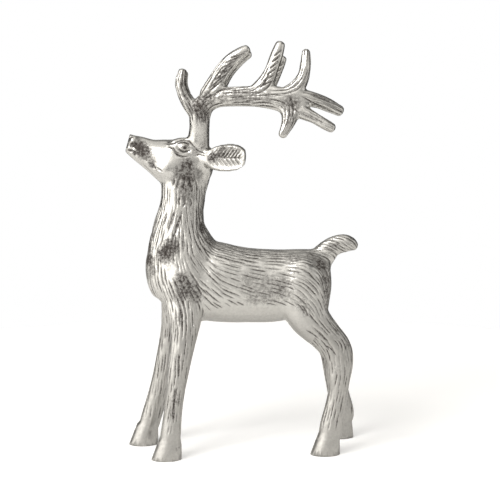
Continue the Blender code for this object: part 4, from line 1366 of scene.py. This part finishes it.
def place_camera(move):
    """The camera of the photograph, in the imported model's frame."""
    place = Vector(CAMERA_PLACE) * UNIT + Vector(move)
    aim = Vector(CAMERA_AIM) * UNIT + Vector(move)
    bpy.ops.object.camera_add(location=place)
    camera = bpy.context.object
    camera.name = "photo_camera"
    camera.rotation_euler = (aim - place).to_track_quat("-Z", "Y").to_euler()
    camera.data.sensor_width = SENSOR_MM
    camera.data.lens = PIXELS_AT_ONE * SENSOR_MM / PHOTO_SIZE
    camera.data.clip_start, camera.data.clip_end = CAMERA_CLIP
    bpy.context.scene.camera = camera


class CastingSettings(bpy.types.PropertyGroup):
    """Sizes and colours of the casting."""

    stroke_spacing: bpy.props.FloatProperty(
        name="Stroke spacing",
        description="How far apart the chased strokes of the coat lie, as a share of the usual distance",
        default=1.0, min=0.6, max=2.0, subtype="FACTOR",
    )
    stroke_depth: bpy.props.FloatProperty(
        name="Stroke depth",
        description="How deep the chased strokes of the coat are, as a share of the usual depth",
        default=1.0, min=0.0, max=1.6, subtype="FACTOR",
    )
    metal_colour: bpy.props.FloatVectorProperty(
        name="Metal", description="Colour of the polished aluminium",
        default=from_hex("D3D1CC"), subtype="COLOR", size=3, min=0.0, max=1.0,
    )
    # This colour is also painted into the dark patches, which are partly tarnish and partly painted shade
    # and painted dark reflections
    oxide_and_shade_colour: bpy.props.FloatVectorProperty(
        name="Oxide", description="Colour of the oxide left in the cuts",
        default=from_hex("38322E"), subtype="COLOR", size=3, min=0.0, max=1.0,
    )
    bright_roughness: bpy.props.FloatProperty(
        name="Bright roughness", description="Roughness of the head, neck and chest",
        default=0.23, min=0.05, max=1.0, subtype="FACTOR",
    )
    dull_roughness: bpy.props.FloatProperty(
        name="Dull roughness", description="Roughness of the belly and legs",
        default=0.34, min=0.05, max=1.0, subtype="FACTOR",
    )


class StudioSettings(bpy.types.PropertyGroup):
    """Sizes and colours of the studio."""

    key_power: bpy.props.FloatProperty(
        name="Key light", description="Power of the soft light from the upper left",
        default=8.0, min=0.0, unit="POWER",
    )
    fill_power: bpy.props.FloatProperty(
        name="Fill light", description="Power of the soft light from the right",
        default=0.5, min=0.0, unit="POWER",
    )
    room_grey: bpy.props.FloatProperty(
        name="Room grey", description="Brightness of the room between the lit panels",
        default=0.06, min=0.0, max=1.0, subtype="FACTOR",
    )
    tent_power: bpy.props.FloatProperty(
        name="Tent", description="Brightness of the tent's lit panels",
        default=1.0, min=0.0, max=4.0, subtype="FACTOR",
    )
    floor_colour: bpy.props.FloatVectorProperty(
        name="Floor", description="Colour of the paper that the animal stands on",
        default=from_hex("F6F5F3"), subtype="COLOR", size=3, min=0.0, max=1.0,
    )
    floor_glow: bpy.props.FloatProperty(
        name="Floor glow", description="How strongly the paper is lit from below",
        default=0.34, min=0.0, max=2.0, subtype="FACTOR",
    )
    floor_radius: bpy.props.FloatProperty(
        name="Floor radius", description="How far the paper reaches from the animal",
        default=0.6, min=0.3, unit="LENGTH",
    )


class REINDEER_OT_casting(bpy.types.Operator):
    """Models the reindeer as one chased aluminium casting"""

    bl_idname = "reindeer.casting"
    bl_label = "Casting"

    def execute(self, context):
        settings = context.scene.reindeer_casting
        reindeer = model_form()
        cut, tarnish_and_shade = carve(reindeer, settings)
        thin_out(reindeer, cut, tarnish_and_shade)
        move = stand_in_frame(reindeer.data)
        context.scene["reindeer_move"] = list(move)
        reindeer.data.materials.clear()
        reindeer.data.materials.append(cast_aluminium(settings))
        reindeer.data.shade_smooth()
        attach(reindeer, "root")
        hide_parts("reindeer")
        return {"FINISHED"}


class REINDEER_OT_studio(bpy.types.Operator):
    """Sets up the pale floor, the white tent, the soft lights and the camera of the photograph"""

    bl_idname = "reindeer.studio"
    bl_label = "Studio"

    def execute(self, context):
        settings = context.scene.reindeer_studio
        bpy.ops.object.select_all(action="DESELECT")
        bpy.ops.mesh.primitive_circle_add(
            vertices=FLOOR_SIDES, radius=settings.floor_radius, fill_type="NGON", location=(0, 0, FLOOR_Z)
        )
        floor = context.object
        floor.name = "floor"
        bpy.ops.object.transform_apply(location=True, rotation=True, scale=True)
        floor.data.materials.append(studio_sheet(settings.floor_colour, settings.floor_glow))
        aim = (0, 0, HEIGHT / 2)
        soft_box("key_light", *KEY_LIGHT, aim, settings.key_power)
        soft_box("fill_light", *FILL_LIGHT, aim, settings.fill_power)
        if context.scene.world is None:
            context.scene.world = bpy.data.worlds.new("white_tent")
        tent(context.scene.world, settings)
        place_camera(context.scene["reindeer_move"])
        context.scene.view_settings.view_transform = "Standard"
        return {"FINISHED"}


class REINDEER_PT_panel(bpy.types.Panel):
    """Lists the reindeer's steps and settings."""

    bl_label = "Reindeer figurine"
    bl_space_type = "VIEW_3D"
    bl_region_type = "UI"
    bl_category = "Reindeer"

    def draw(self, context):
        for group, operator in (
            (context.scene.reindeer_casting, REINDEER_OT_casting),
            (context.scene.reindeer_studio, REINDEER_OT_studio),
        ):
            box = self.layout.box()
            for name in group.__annotations__:
                box.prop(group, name)
            box.operator(operator.bl_idname)


CLASSES = (
    CastingSettings,
    StudioSettings,
    REINDEER_OT_casting,
    REINDEER_OT_studio,
    REINDEER_PT_panel,
)


def register():
    """Registers the classes and hangs the settings on the scene."""
    for item in CLASSES:
        bpy.utils.register_class(item)
    bpy.types.Scene.reindeer_casting = bpy.props.PointerProperty(type=CastingSettings)
    bpy.types.Scene.reindeer_studio = bpy.props.PointerProperty(type=StudioSettings)


def unregister():
    """Takes the settings and the classes away again."""
    del bpy.types.Scene.reindeer_studio
    del bpy.types.Scene.reindeer_casting
    for item in reversed(CLASSES):
        bpy.utils.unregister_class(item)


def main():
    """Makes the casting and the studio."""
    register()
    bpy.ops.reindeer.casting()
    bpy.ops.reindeer.studio()


if __name__ == "__main__":
    main()
